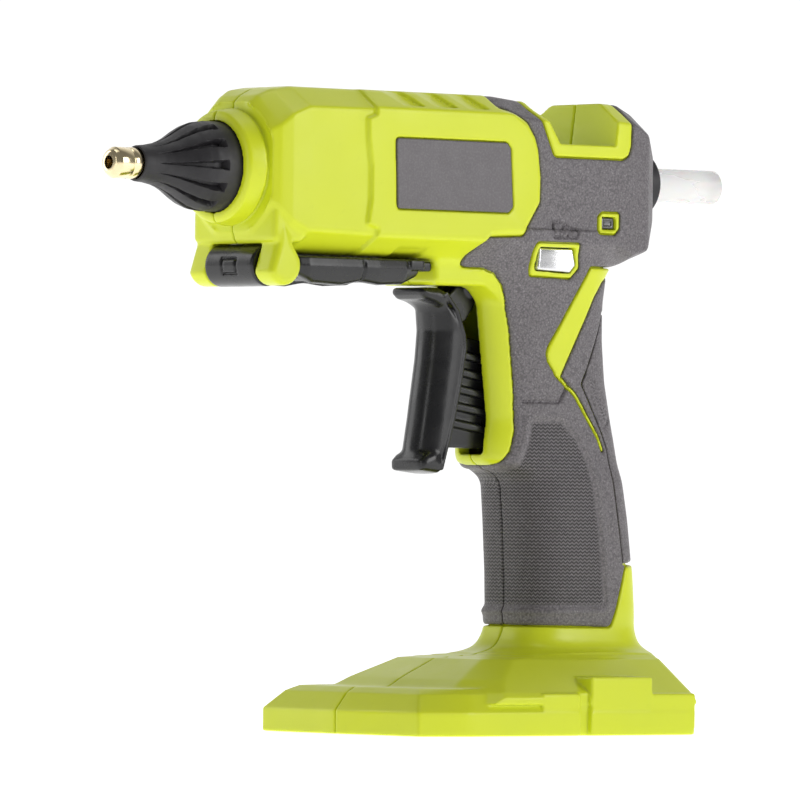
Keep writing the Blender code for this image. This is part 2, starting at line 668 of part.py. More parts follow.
def make_stick():
    stick = bar("stick", STICK_FRONT_D, LENGTH, 0.0, AXIS_Z, STICK_R, 28)
    finish(stick, "glue_stick", GLUE)
    profile = [
        (203.0, 6.2), (203.0, 8.0), (207.0, 8.0), (207.0, 10.3),
        (COLLAR_D - 0.8, 10.6), (COLLAR_D, 10.0), (COLLAR_D, 6.2),
    ]
    finish(turned("collar", profile), "inlet_collar", BLACK)


# ---------------------------------------------------------------- trigger

TRIGGER_OUTLINE = [
    (127.0, 144.6), (126.2, 142.8), (128.0, 141.2), (133.6, 139.2), (136.1, 135.0), (136.6, 129.7),
    (134.8, 121.5), (130.8, 102.0), (126.9, 90.4), (124.8, 88.6), (124.9, 85.2), (133.0, 84.4),
    (134.9, 88.2), (138.9, 102.0), (141.9, 115.0), (143.6, 124.8), (143.2, 129.6), (140.2, 137.5),
    (134.8, 143.4), (131.7, 144.6),
]


def make_trigger():
    body = plate("trigger", TRIGGER_OUTLINE, -8.5, 8.5)
    d, z = TRIGGER_PIVOT
    neck = plate("trigger_neck", TRIGGER_NECK, -4.8, 4.8)
    arm = plate("trigger_arm", TRIGGER_ARM, -2.5, 2.5)
    join(body, neck, rod("trigger_boss", d, z, 4.6, -5.6, 5.6, 20), arm)
    cut(
        body,
        plate("trigger_hollow", TRIGGER_HOLLOW, -5.3, 5.3),
        rod("trigger_bore", d, z, 1.75, -10.0, 10.0, 16),
        rod("drive_bore", d, DRIVE_PIN_Z, 1.65, -10.0, 10.0, 12),
    )
    finish(body, "trigger", BLACK)
    finish(rod("pin", d, z, 1.45, -11.2, 11.2, 14), "trigger_pin", STEEL)
    finish(rod("drive", d, DRIVE_PIN_Z, 1.35, -5.8, 5.8, 12), "drive_pin", STEEL)


def make_shield():
    """Ribbed plate that closes the slot behind the trigger and moves into the frame with it."""
    body = plate("shield", SHIELD, -4.2, 4.2)
    ribs = []
    for i in range(5):
        z = 99.5 + 5.6 * i
        start, end = 137.0 + 0.9 * i, 157.0
        rib = [(start, z + 3.0), (start, z + 1.2), (end, z - 2.0), (end, z - 0.2)]
        ribs.append(plate(f"rib_{i}", rib, -4.9, 4.9))
    finish(join(body, *ribs), "trigger_shield", BLACK)


# ---------------------------------------------------------------- controls

def make_controls():
    finish(plate("board", BOARD_OUTLINE, -14.6, -13.0), "control_board", BOARD)
    finish(box("switch", 168.0, 175.0, -15.9, -14.9, 151.8, 157.6), "button_switch", BLACK)
    button = plate("button", offset_outline(BUTTON_HOLE, -0.35), -21.9, -18.9)
    join(button, rod("button_stem", 171.5, 154.4, 1.8, -19.4, -17.4, 12))
    finish(button, "power_button", SILVER)
    finish(plate("lens", offset_outline(LIGHT_HOLE, -0.3), -23.6, -18.4), "light_lens", LENS)
    finish(box("diode", 191.2, 193.9, -17.9, -14.9, 166.5, 169.1), "light_diode", CREAM)


def make_battery_contacts():
    block = box("terminals", 176.9, 202.6, -10.6, 10.6, SOCKET_TOP_Z, 80.4)
    finish(block, "battery_terminal", BLACK)
    for i, y in enumerate((-7.0, 0.0, 7.0)):
        name = ("contact_plus", "contact_data", "contact_minus")[i]
        finish(box(name, 184.0, 196.0, y - 0.4, y + 0.4, 58.0, SOCKET_TOP_Z - GAP), name, BRASS)


def make_wires():
    """Leads from the terminals to the board, and from the board to the heater."""
    for name, y, look in (("wire_plus", -9.0, RED), ("wire_minus", -6.0, BLACK)):
        route = [
            (193.0, y, 80.9), (192.0, y, 92.0), (188.0, y, 120.0), (190.0, y, 145.0), (192.0, y, 160.0),
            (192.0, y - 0.4, 168.0), (192.0, -11.0, 172.0), (192.0, -12.4, 172.0),
        ]
        if y > -8.0:
            route = [(d - 4.0, y_here, z) for d, y_here, z in route]
        finish(wire(name, route, 0.8), name, look)
    leads = (
        ("heater_lead_a", -3.2, -12.0, 170.6, 168.0, 167.0, RED),
        ("heater_lead_b", 1.5, -13.5, 174.6, 172.0, 165.0, CREAM),
    )
    for name, y_end, y_turn, z_board, z_turn, z_low, look in leads:
        route = [
            (164.0, -12.4, z_board), (164.0, -11.6, z_board), (156.0, -11.8, z_board), (140.0, -15.2, z_board),
            (112.0, y_turn, z_turn), (104.0, y_end, z_low), (97.0, y_end, z_low + 1.6), (88.6, y_end, 169.4),
        ]
        finish(wire(name, route, 0.8), name, look)


# ---------------------------------------------------------------- drip tray

TRAY_STATIONS = [
    # d, half-width, underside z
    (65.0, 17.0, 146.5), (69.0, 18.0, 144.4), (84.0, 18.0, 143.8), (93.0, 18.0, 145.0),
    (98.0, 18.0, 144.2), (110.0, 17.5, 144.4), (116.5, 15.0, 147.0), (119.0, 12.0, 149.0),
]
TRAY_RIM_Z = 153.0
TRAY_CHAMFER = 4.0


def tray_ring(d, half, low):
    """The pans' outer section at one station: flat rim, upright sides and a chamfered underside."""
    right = [(half, TRAY_RIM_Z), (half, low + TRAY_CHAMFER), (half - TRAY_CHAMFER, low)]
    return [at(d, y, z) for y, z in right + [(-y, z) for y, z in reversed(right)]]


def make_tray():
    """Fold-out tray: hinge barrel between the ears, neck, and two shallow pans in a row."""
    d, z = TRAY_PIVOT
    body = rod("tray", d, z, 6.8, -12.0, 12.0, 24)
    join(
        body,
        box("tray_neck", d + 2.0, 68.0, -11.6, 11.6, 144.6, 153.0),
        loft("tray_pans", [tray_ring(*station) for station in TRAY_STATIONS]),
        box("tray_tab", 116.0, 124.0, -13.0, 13.0, 149.4, 152.6),
    )
    cut(
        body,
        box("pan_front", 71.0, 90.5, -15.4, 15.4, 130.0, 150.6),
        box("pan_rear", 92.5, 113.0, -15.0, 15.0, 130.0, 150.6),
        rod("tray_bore", d, z, 1.8, -20.0, 20.0),
    )
    finish(body, "drip_tray", BLACK)
    finish(rod("tray_hinge", d, z, 1.45, -17.6, 17.6, 14), "tray_hinge_pin", STEEL)


clear_scene()
PARTS = new_collection("glue_gun")
CUTTERS = new_collection("cutters")
make_housing()
make_overmoulds()
make_badges()
make_screws()
make_nozzle()
make_boot()
make_chamber()
make_feed()
make_stick()
make_trigger()
make_shield()
make_controls()
make_battery_contacts()
make_wires()
make_tray()
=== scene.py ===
"""Visual model of the cordless glue gun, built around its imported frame.

Hard shells, soft overmoulds and small mouldings are carved as distance fields on grids, so that their
edges are rounded as moulded ones are, then turned to meshes. Turned pieces are spun profiles.
Sizes are millimetres until a mesh is made: d is the distance behind the nozzle's tip, y is across,
and z is the height above the foot's rim.
"""

import json
import math

import bmesh
import bpy
import numpy as np
from mathutils import Matrix, Vector


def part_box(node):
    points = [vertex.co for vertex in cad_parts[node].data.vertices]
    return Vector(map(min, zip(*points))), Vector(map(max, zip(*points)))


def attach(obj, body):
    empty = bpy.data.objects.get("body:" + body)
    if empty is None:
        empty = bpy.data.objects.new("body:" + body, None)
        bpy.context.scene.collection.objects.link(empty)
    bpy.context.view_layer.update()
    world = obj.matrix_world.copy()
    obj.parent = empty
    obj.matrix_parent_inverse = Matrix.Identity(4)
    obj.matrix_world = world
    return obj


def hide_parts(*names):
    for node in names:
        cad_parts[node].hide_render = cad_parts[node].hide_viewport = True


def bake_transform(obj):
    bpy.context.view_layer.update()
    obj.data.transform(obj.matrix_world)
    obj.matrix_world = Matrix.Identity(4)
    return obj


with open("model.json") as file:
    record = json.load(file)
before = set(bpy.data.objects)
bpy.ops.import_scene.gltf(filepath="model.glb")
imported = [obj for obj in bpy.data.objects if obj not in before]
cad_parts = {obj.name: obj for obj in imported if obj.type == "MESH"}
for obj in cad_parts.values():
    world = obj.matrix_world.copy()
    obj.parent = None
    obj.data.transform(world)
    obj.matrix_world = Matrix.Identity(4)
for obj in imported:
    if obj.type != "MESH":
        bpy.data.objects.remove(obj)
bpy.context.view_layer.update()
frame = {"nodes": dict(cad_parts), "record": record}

LIME = (0.66, 0.735, 0.016)
GREY_RUBBER = (0.150, 0.138, 0.146)
BACKDROP = (0.643, 0.766, 0.0)  # direction of the lit backdrop
MM = 0.001
TIP_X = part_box("nozzle")[0].x
AXIS_Z = 500.0 * (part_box("nozzle")[0].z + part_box("nozzle")[1].z)
COARSE = 1.0
GAP = 0.3  # between neighbouring mouldings
SKIN = 1.2  # thickness of the soft overmould
WALL = 3.0  # thickness of the housing
TRAY_HINGE = (56.0, 149.8)
TRIGGER_PIVOT = (149.5, 146.0)


def at(d, y, z):
    return Vector((TIP_X + d * MM, y * MM, z * MM))


# ---------------------------------------------------------------- distance fields

def path_distance(path, d, z):
    """Distance from side-view places to a path of (d, z) points."""
    best = np.float32(1e9)
    for (d0, z0), (d1, z1) in zip(path, path[1:]):
        along_d, along_z = d1 - d0, z1 - z0
        share = ((d - d0) * along_d + (z - z0) * along_z) / (along_d**2 + along_z**2)
        share = np.clip(share, 0.0, 1.0)
        best = np.minimum(best, (d - d0 - share * along_d) ** 2 + (z - z0 - share * along_z) ** 2)
    return np.sqrt(best).astype(np.float32)


def outline_distance(outline, d, z):
    """Signed distance from side-view places to a closed outline, negative inside."""
    best = path_distance(outline + outline[:1], d, z)
    inside = np.zeros(best.shape, bool)
    for (d0, z0), (d1, z1) in zip(outline, outline[1:] + outline[:1]):
        if z0 != z1:
            inside ^= ((z0 > z) != (z1 > z)) & (d < (d1 - d0) * (z - z0) / (z1 - z0) + d0)
    return np.where(inside, -best, best)


def rounded(outline, radius, steps=5):
    """The outline with an arc of that radius at each of its corners, where there is room."""
    result = []
    for before, corner, after in zip(outline[-1:] + outline[:-1], outline, outline[1:] + outline[:1]):
        corner, before, after = (np.array(point, float) for point in (corner, before, after))
        into, away = before - corner, after - corner
        half = 0.5 * math.acos(np.clip(into @ away / np.linalg.norm(into) / np.linalg.norm(away), -1.0, 1.0))
        reach = min(radius / math.tan(half), 0.45 * np.linalg.norm(into), 0.45 * np.linalg.norm(away))
        start = corner + into / np.linalg.norm(into) * reach
        end = corner + away / np.linalg.norm(away) * reach
        for share in np.linspace(0.0, 1.0, steps):
            bend = (1.0 - share) ** 2 * start + 2.0 * share * (1.0 - share) * corner + share**2 * end
            result.append((float(bend[0]), float(bend[1])))
    return result


class Grid:
    """Sample points, as three arrays that broadcast against each other."""

    def __init__(self, d_range, y_range, z_range, step, fold=False):
        self.step = step * COARSE
        spans = [np.arange(low - 2.3 * self.step, high + 2.3 * self.step, self.step, dtype=np.float32)
                 for low, high in (d_range, y_range, z_range)]
        self.d, self.y, self.z = spans[0][:, None, None], spans[1][None, :, None], spans[2][None, None, :]
        if fold:
            self.y = np.abs(self.y)
        self.origin = np.array([span[0] for span in spans], np.float64)
        self.shape = tuple(span.size for span in spans)

    def side(self, outline):
        return outline_distance(outline, self.d[:, 0, :], self.z[0, :, :])[:, None, :]

    def near_path(self, path):
        return path_distance(path, self.d[:, 0, :], self.z[0, :, :])[:, None, :]

    def across(self, d, z):
        """Distance to a line along Y."""
        return np.hypot(self.d - d, self.z - z)

    def axial(self):
        """Distance to the nozzle's axis."""
        return np.hypot(self.y, self.z - np.float32(AXIS_Z))

    def box(self, d_low, d_high, y_low, y_high, z_low, z_high, k=0.0):
        middle, reach = 0.5 * (y_low + y_high), 0.5 * (y_high - y_low)
        walls = [np.maximum(d_low - self.d, self.d - d_high), np.abs(self.y - middle) - reach,
                 np.maximum(z_low - self.z, self.z - z_high)]
        if k == 0.0:
            return meet(*walls)
        return smax(smax(walls[0], walls[1], k), walls[2], k)


def smax(a, b, k):
    """The larger of two fields, rounded over where they are within k of each other."""
    near = np.maximum(k - np.abs(a - b), 0.0) / np.float32(k)
    return np.maximum(a, b) + near * near * np.float32(0.25 * k)


def smin(a, b, k):
    return -smax(-a, -b, k)


def meet(*fields):
    result = fields[0]
    for field in fields[1:]:
        result = np.maximum(result, field)
    return result


def merge(*fields):
    result = fields[0]
    for field in fields[1:]:
        result = np.minimum(result, field)
    return result


def eased(table, column, where, reach):
    """A column of the table against its first one, with the kinks rounded over the reach."""
    table = np.array(table)
    spread = np.linspace(-0.5 * reach, 0.5 * reach, 9)
    rows = [np.interp(where + shift, table[:, 0], table[:, column]) for shift in spread]
    return np.mean(rows, axis=0).astype(np.float32)


def contour(field, grid):
    """Points and quads of the field's zero surface, one point to a cell."""
    strides = np.array([field.shape[1] * field.shape[2], field.shape[2], 1])
    inside = field < 0
    cells, places, quads = [], [], []
    for axis in range(3):
        first, second = [slice(None)] * 3, [slice(None)] * 3
        first[axis], second[axis] = slice(None, -1), slice(1, None)
        edge = np.argwhere(inside[tuple(first)] != inside[tuple(second)])
        far = edge.copy()
        far[:, axis] += 1
        low, high = field[tuple(edge.T)], field[tuple(far.T)]
        place = edge.astype(np.float64)
        place[:, axis] += low / (low - high)
        u, v = (axis + 1) % 3, (axis + 2) % 3
        around = []
        for du, dv in ((0, 0), (-1, 0), (-1, -1), (0, -1)):
            cell = edge.copy()
            cell[:, u] += du
            cell[:, v] += dv
            around.append(cell @ strides)
        around = np.stack(around, 1)
        cells.append(around.ravel())
        places.append(np.repeat(place, 4, axis=0))
        quads.append(np.where((low < 0)[:, None], around, around[:, ::-1]))
    cells, places, quads = map(np.concatenate, (cells, places, quads))
    kept, which = np.unique(cells, return_inverse=True)
    count = np.bincount(which)
    points = np.stack([np.bincount(which, weights=places[:, k]) / count for k in range(3)], 1)
    return grid.origin + grid.step * points, np.searchsorted(kept, quads)


def link(obj):
    bpy.context.scene.collection.objects.link(obj)
    return obj


def settle(obj, angle):
    """Applies the modifiers and sets smooth shading with sharp edges past the angle."""
    bpy.context.view_layer.update()
    graph = bpy.context.evaluated_depsgraph_get()
    mesh = bpy.data.meshes.new_from_object(obj.evaluated_get(graph), depsgraph=graph)
    mesh.name = obj.name
    obj.modifiers.clear()
    obj.data = mesh
    mesh.shade_smooth()
    mesh.set_sharp_from_angle(angle=math.radians(angle))
    return obj


def carved(name, field, grid, faces, mirror=False):
    """A mesh of the field's surface, thinned to about so many triangles."""
    points, quads = contour(np.broadcast_to(field, grid.shape), grid)
    if mirror:
        points[:, 1] *= -1.0
        quads = quads[:, ::-1]
    mesh = bpy.data.meshes.new(name)
    world = np.array([TIP_X, 0.0, 0.0]) + points * MM
    mesh.vertices.add(len(world))
    mesh.vertices.foreach_set("co", world.astype(np.float32).ravel())
    mesh.loops.add(quads.size)
    mesh.loops.foreach_set("vertex_index", quads.astype(np.int32).ravel())
    mesh.polygons.add(len(quads))
    mesh.polygons.foreach_set("loop_start", np.arange(0, quads.size, 4, dtype=np.int32))
    mesh.update(calc_edges=True)
    mesh.validate()
    obj = link(bpy.data.objects.new(name, mesh))
    if COARSE == 1.0:
        soft = obj.modifiers.new("soft", "SMOOTH")
        soft.factor = 0.5
        soft.iterations = 2
    thin = obj.modifiers.new("thin", "DECIMATE")
    thin.ratio = min(1.0, faces / COARSE**2 / (2.0 * len(quads)))
    return settle(obj, 48.0)


# ---------------------------------------------------------------- outlines, side view

GREY = [
    (145.6, 215.0), (145.6, 203.4), (149.4, 202.4), (156.0, 198.6), (159.4, 194.0), (160.8, 190.0),
    (162.0, 181.0), (161.8, 172.6), (154.5, 161.7), (140.4, 161.0), (134.0, 151.2), (144.0, 151.0),
    (148.4, 149.4), (152.0, 146.0), (154.6, 140.0), (156.5, 131.4), (159.0, 113.0), (160.2, 99.2),
    (158.8, 92.0), (155.5, 86.0), (149.0, 84.0), (149.0, 35.3), (199.0, 34.6), (201.0, 39.6), (206.0, 54.7),
    (226.0, 57.0), (226.0, 215.0),
]
STRIPE = [
    (186.2, 152.4), (170.4, 126.3), (169.8, 124.0), (170.4, 121.4), (175.2, 115.2), (189.4, 142.6),
    (193.2, 147.4), (198.6, 150.2), (205.0, 150.4), (205.0, 152.6),
]
SADDLE = [
    (160.4, 216.0), (161.2, 203.0), (168.2, 187.9), (198.2, 187.9), (200.8, 189.2), (201.8, 192.4),
    (202.3, 203.0), (201.0, 216.0),
]
TROUGH = [(162.6, 216.0), (163.4, 203.0), (170.6, 192.2), (194.8, 192.2), (198.0, 216.0)]
BUTTON_FRAME = [
    (160.9, 159.9), (159.8, 151.6), (160.4, 148.9), (177.2, 148.4), (180.6, 152.0), (179.4, 159.9),
]
BUTTON_HOLE = [(162.4, 158.4), (161.6, 151.7), (162.0, 150.6), (176.6, 150.0), (178.9, 152.7), (177.8, 158.4)]
LIGHT_FRAME = [(187.4, 163.4), (194.8, 163.2), (196.8, 165.2), (196.8, 170.4), (189.2, 170.4), (187.4, 168.9)]
LIGHT_HOLE = [(189.0, 164.8), (195.2, 164.8), (195.2, 168.9), (189.0, 168.9)]
BACKSTRAP = [
    (222.0, 140.5), (195.5, 137.5), (187.5, 119.0), (185.2, 114.2), (195.2, 98.5), (197.9, 93.0),
    (201.2, 75.7), (204.9, 55.3), (222.0, 57.0),
]
BADGE = [(99.7, 169.0), (147.0, 169.0), (148.8, 170.8), (147.6, 189.9), (146.0, 191.6), (98.9, 191.6)]
PAD_FRONT = [
    (91.6, 212.0), (90.4, 199.0), (87.0, 197.8), (87.3, 190.0), (88.6, 182.0), (88.6, 172.0), (87.2, 163.4),
    (91.4, 162.0), (91.0, 158.0), (88.6, 150.0), (200.0, 150.0), (200.0, 212.0),
]
GRIP_PANEL = [
    (140.0, 40.5), (197.0, 40.5), (196.4, 50.0), (194.6, 66.0), (192.0, 80.0), (189.4, 89.0), (184.4, 97.0),
    (177.0, 103.0), (165.0, 102.6), (163.6, 95.0), (161.0, 87.5), (154.0, 81.5), (140.0, 80.0),
]
STRAP_PATCH = [(189.0, 119.5), (187.4, 114.6), (196.6, 99.8), (199.5, 102.6), (193.0, 112.0)]
GRIP_CREASE = [(162.6, 108.2), (175.6, 108.2), (179.4, 114.0)]
PINSTRIPE = [(174.0, 117.2), (182.4, 110.8), (193.4, 96.9), (195.6, 92.6)]
BRIDGE = [(124.8, 157.0), (124.8, 146.4), (126.4, 145.2), (146.0, 145.2), (156.0, 140.0), (156.0, 157.0)]
LATCH_RECESS = [(104.0, 157.0), (117.0, 157.0), (117.0, 146.0), (104.0, 146.0)]
CHARGE_BARS = [
    [(167.6, 166.8), (170.7, 166.5), (170.2, 161.8), (167.6, 161.8)],
    [(171.6, 165.9), (174.2, 165.6), (173.8, 161.8), (171.4, 161.8)],
    [(175.3, 164.6), (177.9, 164.4), (177.5, 161.8), (175.1, 161.8)],
]
TRIGGER = [
    (129.6, 141.6), (131.2, 137.0), (131.8, 130.6), (131.0, 121.5), (128.0, 102.0), (125.9, 90.0),
    (126.4, 85.4), (133.0, 84.6), (134.9, 88.2), (138.9, 102.0), (141.9, 115.0), (143.6, 124.8),
    (143.2, 129.6), (140.2, 137.5), (134.8, 143.4), (131.7, 144.4),
]
TRIGGER_BACK = range(8, 14)  # the points of its rear edge
TRIGGER_REAR = [
    (133.4, 86.0), (134.4, 89.4), (138.2, 102.4), (141.1, 115.2), (142.8, 124.9), (142.4, 129.4),
    (139.5, 137.0), (134.6, 142.6),
]
UPPER_LIP = [
    (124.6, 144.5), (124.4, 142.4), (126.2, 140.8), (132.6, 139.2), (137.0, 140.6), (134.8, 143.4),
    (131.7, 144.5),
]
LOWER_LIP = [(124.9, 88.6), (125.0, 85.2), (133.0, 84.4), (134.8, 88.0), (130.0, 90.6), (126.9, 90.2)]
SCREWS = [(70.0, 160.5), (70.0, 201.0), (118.0, 159.0), (178.0, 104.0), (203.0, 164.0), (150.0, 17.6)]

BARREL = [
    # d, half-width, top, bottom, upper flat half-width, upper shoulder, lower flat half-width, lower shoulder
    (50.0, 19.4, 20.2, -20.0, 8.6, 8.6, 8.6, 8.6),
    (53.0, 21.4, 23.0, -22.4, 9.6, 9.8, 9.6, 9.8),
    (57.5, 22.4, 25.2, -25.5, 11.2, 8.4, 11.2, 8.4),
    (64.0, 22.6, 26.2, -27.0, 12.4, 6.8, 12.4, 7.0),
    (88.0, 22.6, 26.2, -27.3, 12.4, 6.6, 12.4, 6.6),
    (150.0, 22.6, 26.2, -27.4, 12.4, 6.6, 12.4, 6.6),
    (160.0, 22.6, 25.2, -27.5, 12.4, 6.6, 12.4, 6.6),
    (170.0, 22.6, 24.6, -27.6, 12.4, 6.6, 12.4, 6.6),
    (196.0, 22.6, 25.6, -27.6, 12.4, 6.6, 12.4, 6.6),
    (203.5, 22.5, 25.4, -27.2, 12.2, 6.8, 15.0, 3.0),
    (211.0, 20.8, 22.8, -24.0, 10.5, 7.5, 17.0, 1.6),
    (218.6, 14.6, 14.2, -14.6, 7.0, 6.5, 11.0, 2.5),
]
HANDLE = [
    # z, front d, rear d, half-width, share of it left at the front
    (24.0, 158.0, 222.0, 23.5, 0.90),
    (27.0, 164.0, 218.0, 19.4, 0.92),
    (34.0, 167.4, 216.0, 17.9, 0.94),
    (40.0, 167.0, 215.6, 18.4, 0.94),
    (52.0, 166.6, 214.8, 18.2, 0.94),
    (70.0, 165.6, 212.2, 18.3, 0.93),
    (82.0, 164.4, 209.8, 18.3, 0.90),
    (84.6, 161.6, 209.2, 18.0, 0.86),
    (87.6, 154.0, 208.5, 17.8, 0.80),
    (90.0, 152.2, 208.0, 17.6, 0.78),
    (95.0, 152.2, 206.9, 17.5, 0.78),
    (102.0, 153.2, 205.0, 17.5, 0.78),
    (115.0, 151.6, 201.8, 18.0, 0.78),
    (128.0, 149.9, 200.2, 18.6, 0.76),
    (140.0, 148.4, 199.5, 19.6, 0.74),
    (146.0, 143.5, 200.2, 20.4, 0.70),
    (152.0, 136.0, 201.0, 21.4, 0.72),
    (162.0, 130.0, 202.4, 21.8, 0.74),
]
PAD_RISE = 1.6  # of the barrel's raised side pads
BARREL_FRONT, BARREL_REAR = BARREL[0][0], BARREL[-1][0]
NOTCHES = (108.7, 122.6, 136.1)  # rear ends of the slanted notches
NOTCH_RUN = 9.5  # of a notch, along the barrel

# Radii of the outlines' corners.
GREY_ROUND = 2.0
PANEL_ROUND = 2.5
BADGE_ROUND = 1.2
BUTTON_ROUND = 0.8


# ---------------------------------------------------------------- the housing's outer form

def barrel_field(g, pad):
    """The octagonal barrel, with the raised side pads and the notches on its upper facets."""
    half, top, bottom, flat, drop, low_flat, low_drop = (
        eased(BARREL, k, g.d[:, 0, 0], 1.0)[:, None, None] for k in range(1, 8)
    )
    up = g.z - np.float32(AXIS_Z)
    lift = PAD_RISE * np.clip(-pad / 1.8, 0.0, 1.0)
    notch = np.float32(0.0)
    for end in NOTCHES:
        past = g.d - end - (g.y - 15.2) * 0.54
        deep = np.where((past > -NOTCH_RUN) & (past < 0.0), 1.0 + past / NOTCH_RUN, 0.0)
        notch = notch + deep * np.clip((g.y - 13.4) / 0.5, 0.0, 1.0) * np.clip((22.4 - g.y) / 0.5, 0.0, 1.0)
    upper = ((g.y - flat) * drop + (up - top) * (half - flat)) / np.hypot(drop, half - flat)
    lower = (g.y - low_flat) * low_drop + (bottom - up) * (half - low_flat)
    lower /= np.hypot(low_drop, half - low_flat)
    field = smax(g.y - half - lift, upper - 0.8 * lift + 1.3 * notch, 0.7)
    field = smax(field, lower - 0.8 * lift, 0.8)
    field = smax(field, up - top, 1.0)
    field = smax(field, bottom - up, 1.6)
    return smax(smax(field, BARREL_FRONT - g.d, 1.0), g.d - BARREL_REAR, 1.2)


def handle_field(g):
    low, high = np.searchsorted(g.z[0, 0, :], (25.0, 164.0))
    z = g.z[:, :, low:high]
    front, rear, half, share = (eased(HANDLE, k, z[0, 0, :], 3.0)[None, None, :] for k in range(1, 5))
    centre, reach = 0.5 * (front + rear), 0.5 * (rear - front)
    across = (g.d - centre) / reach
    width = half * (1.0 - (1.0 - share) * np.clip(-across, 0.0, 1.3) ** 1.5)
    power = 3.6
    norm = (np.abs(across) ** power + (np.abs(g.y) / width) ** power) ** (1.0 / power)
    field = np.full(g.shape, 60.0, np.float32)
    field[:, :, low:high] = meet((norm - 1.0) * np.minimum(reach, half), 25.5 - z, z - 163.0)
    return field


def foot_layer(g, levels, k):
    """A block whose outline changes with height. levels: z, front, side, rear, corner y, corner d."""
    z = g.z[0, 0, :]
    levels = np.array(levels)
    front, flank, rear, corner_y, corner_d = (
        np.interp(z, levels[:, 0], levels[:, n]).astype(np.float32)[None, None, :] for n in range(1, 6)
    )
    bow = front + 2.0 * g.y / corner_y - g.d
    slant = np.hypot(flank - corner_y, corner_d)
    corner = ((g.y - corner_y) * corner_d - (g.d - front - 2.0) * (flank - corner_y)) / slant
    heel = (g.d - rear + g.y - flank + 1.8) * 0.7071
    field = smax(smax(bow, corner, k), g.y - flank, k)
    field = smax(smax(field, g.d - rear, k), heel, k)
    return smax(smax(field, levels[0, 0] - g.z, 0.6), g.z - levels[-1, 0], k)


def foot_field(g):
    """The battery foot: chamfered base, sloping riser with a ledge, and latch pads on its flanks."""
    base = foot_layer(g, [
        (0.0, 96.0, 43.9, 214.4, 39.0, 18.5),
        (7.6, 96.0, 43.9, 214.4, 39.0, 18.5),
        (13.4, 100.8, 39.0, 213.8, 33.5, 16.0),
        (15.2, 104.0, 36.0, 213.4, 30.0, 14.0),
    ], 0.7)
    riser = foot_layer(g, [
        (10.0, 112.0, 46.0, 214.4, 34.0, 15.0),
        (14.0, 116.5, 42.0, 214.4, 31.0, 13.0),
        (18.0, 123.5, 36.0, 214.4, 27.5, 11.0),
        (24.4, 138.0, 26.5, 214.4, 20.5, 8.5),
        (25.8, 156.0, 22.5, 214.4, 16.0, 6.0),
    ], 0.8)
    field = smin(base, np.maximum(riser, g.y - 43.6), 0.8)
    for d_low, d_high, top in ((147.0, 163.2, 13.8), (168.0, 194.5, 19.0), (193.0, 213.4, 13.6)):
        field = smin(field, g.box(d_low, d_high, -43.8, 43.8, 2.0, top, 0.7), 0.4)
    side_slot = g.box(163.4, 167.6, 42.2, 50.0, -2.0, 14.0, 0.4)
    return smax(field, -side_slot, 0.5)


def chin_field(g):
    """The ears that carry the drip tray's hinge, and the block above its barrel."""
    d, z = TRAY_HINGE
    radius = 6.6
    turns = np.radians(np.linspace(200.0, 380.0, 17))
    lobe = [(d - 1.0, 163.0)]
    lobe += [(d + radius * math.cos(a), z + radius * math.sin(a)) for a in turns]
    ear = smax(g.side(lobe), g.y - 21.3, 2.6)
    block = g.box(d - 4.6, d + 8.0, -20.6, 20.6, z + 7.2, 168.0, 2.0)
    return smin(ear, block, 1.0)


def nose_field(g):
    edge = np.interp(g.d, (42.8, 43.8, 49.0, 56.0), (16.6, 17.8, 18.9, 18.9)).astype(np.float32)
    return smax(smax(g.axial() - edge, 42.8 - g.d, 0.8), g.d - 56.0, 0.5)


# ---------------------------------------------------------------- materials

def wire(tree, kind, operation=None, *inputs, **settings):
    """A node, with its first inputs and its named ones linked or set."""
    made = tree.nodes.new("ShaderNode" + kind)
    if operation:
        made.operation = operation
    for place, value in list(enumerate(inputs)) + list(settings.items()):
        socket = made.inputs[place]
        if isinstance(value, bpy.types.NodeSocket):
            tree.links.new(value, socket)
        else:
            socket.default_value = value
    return made


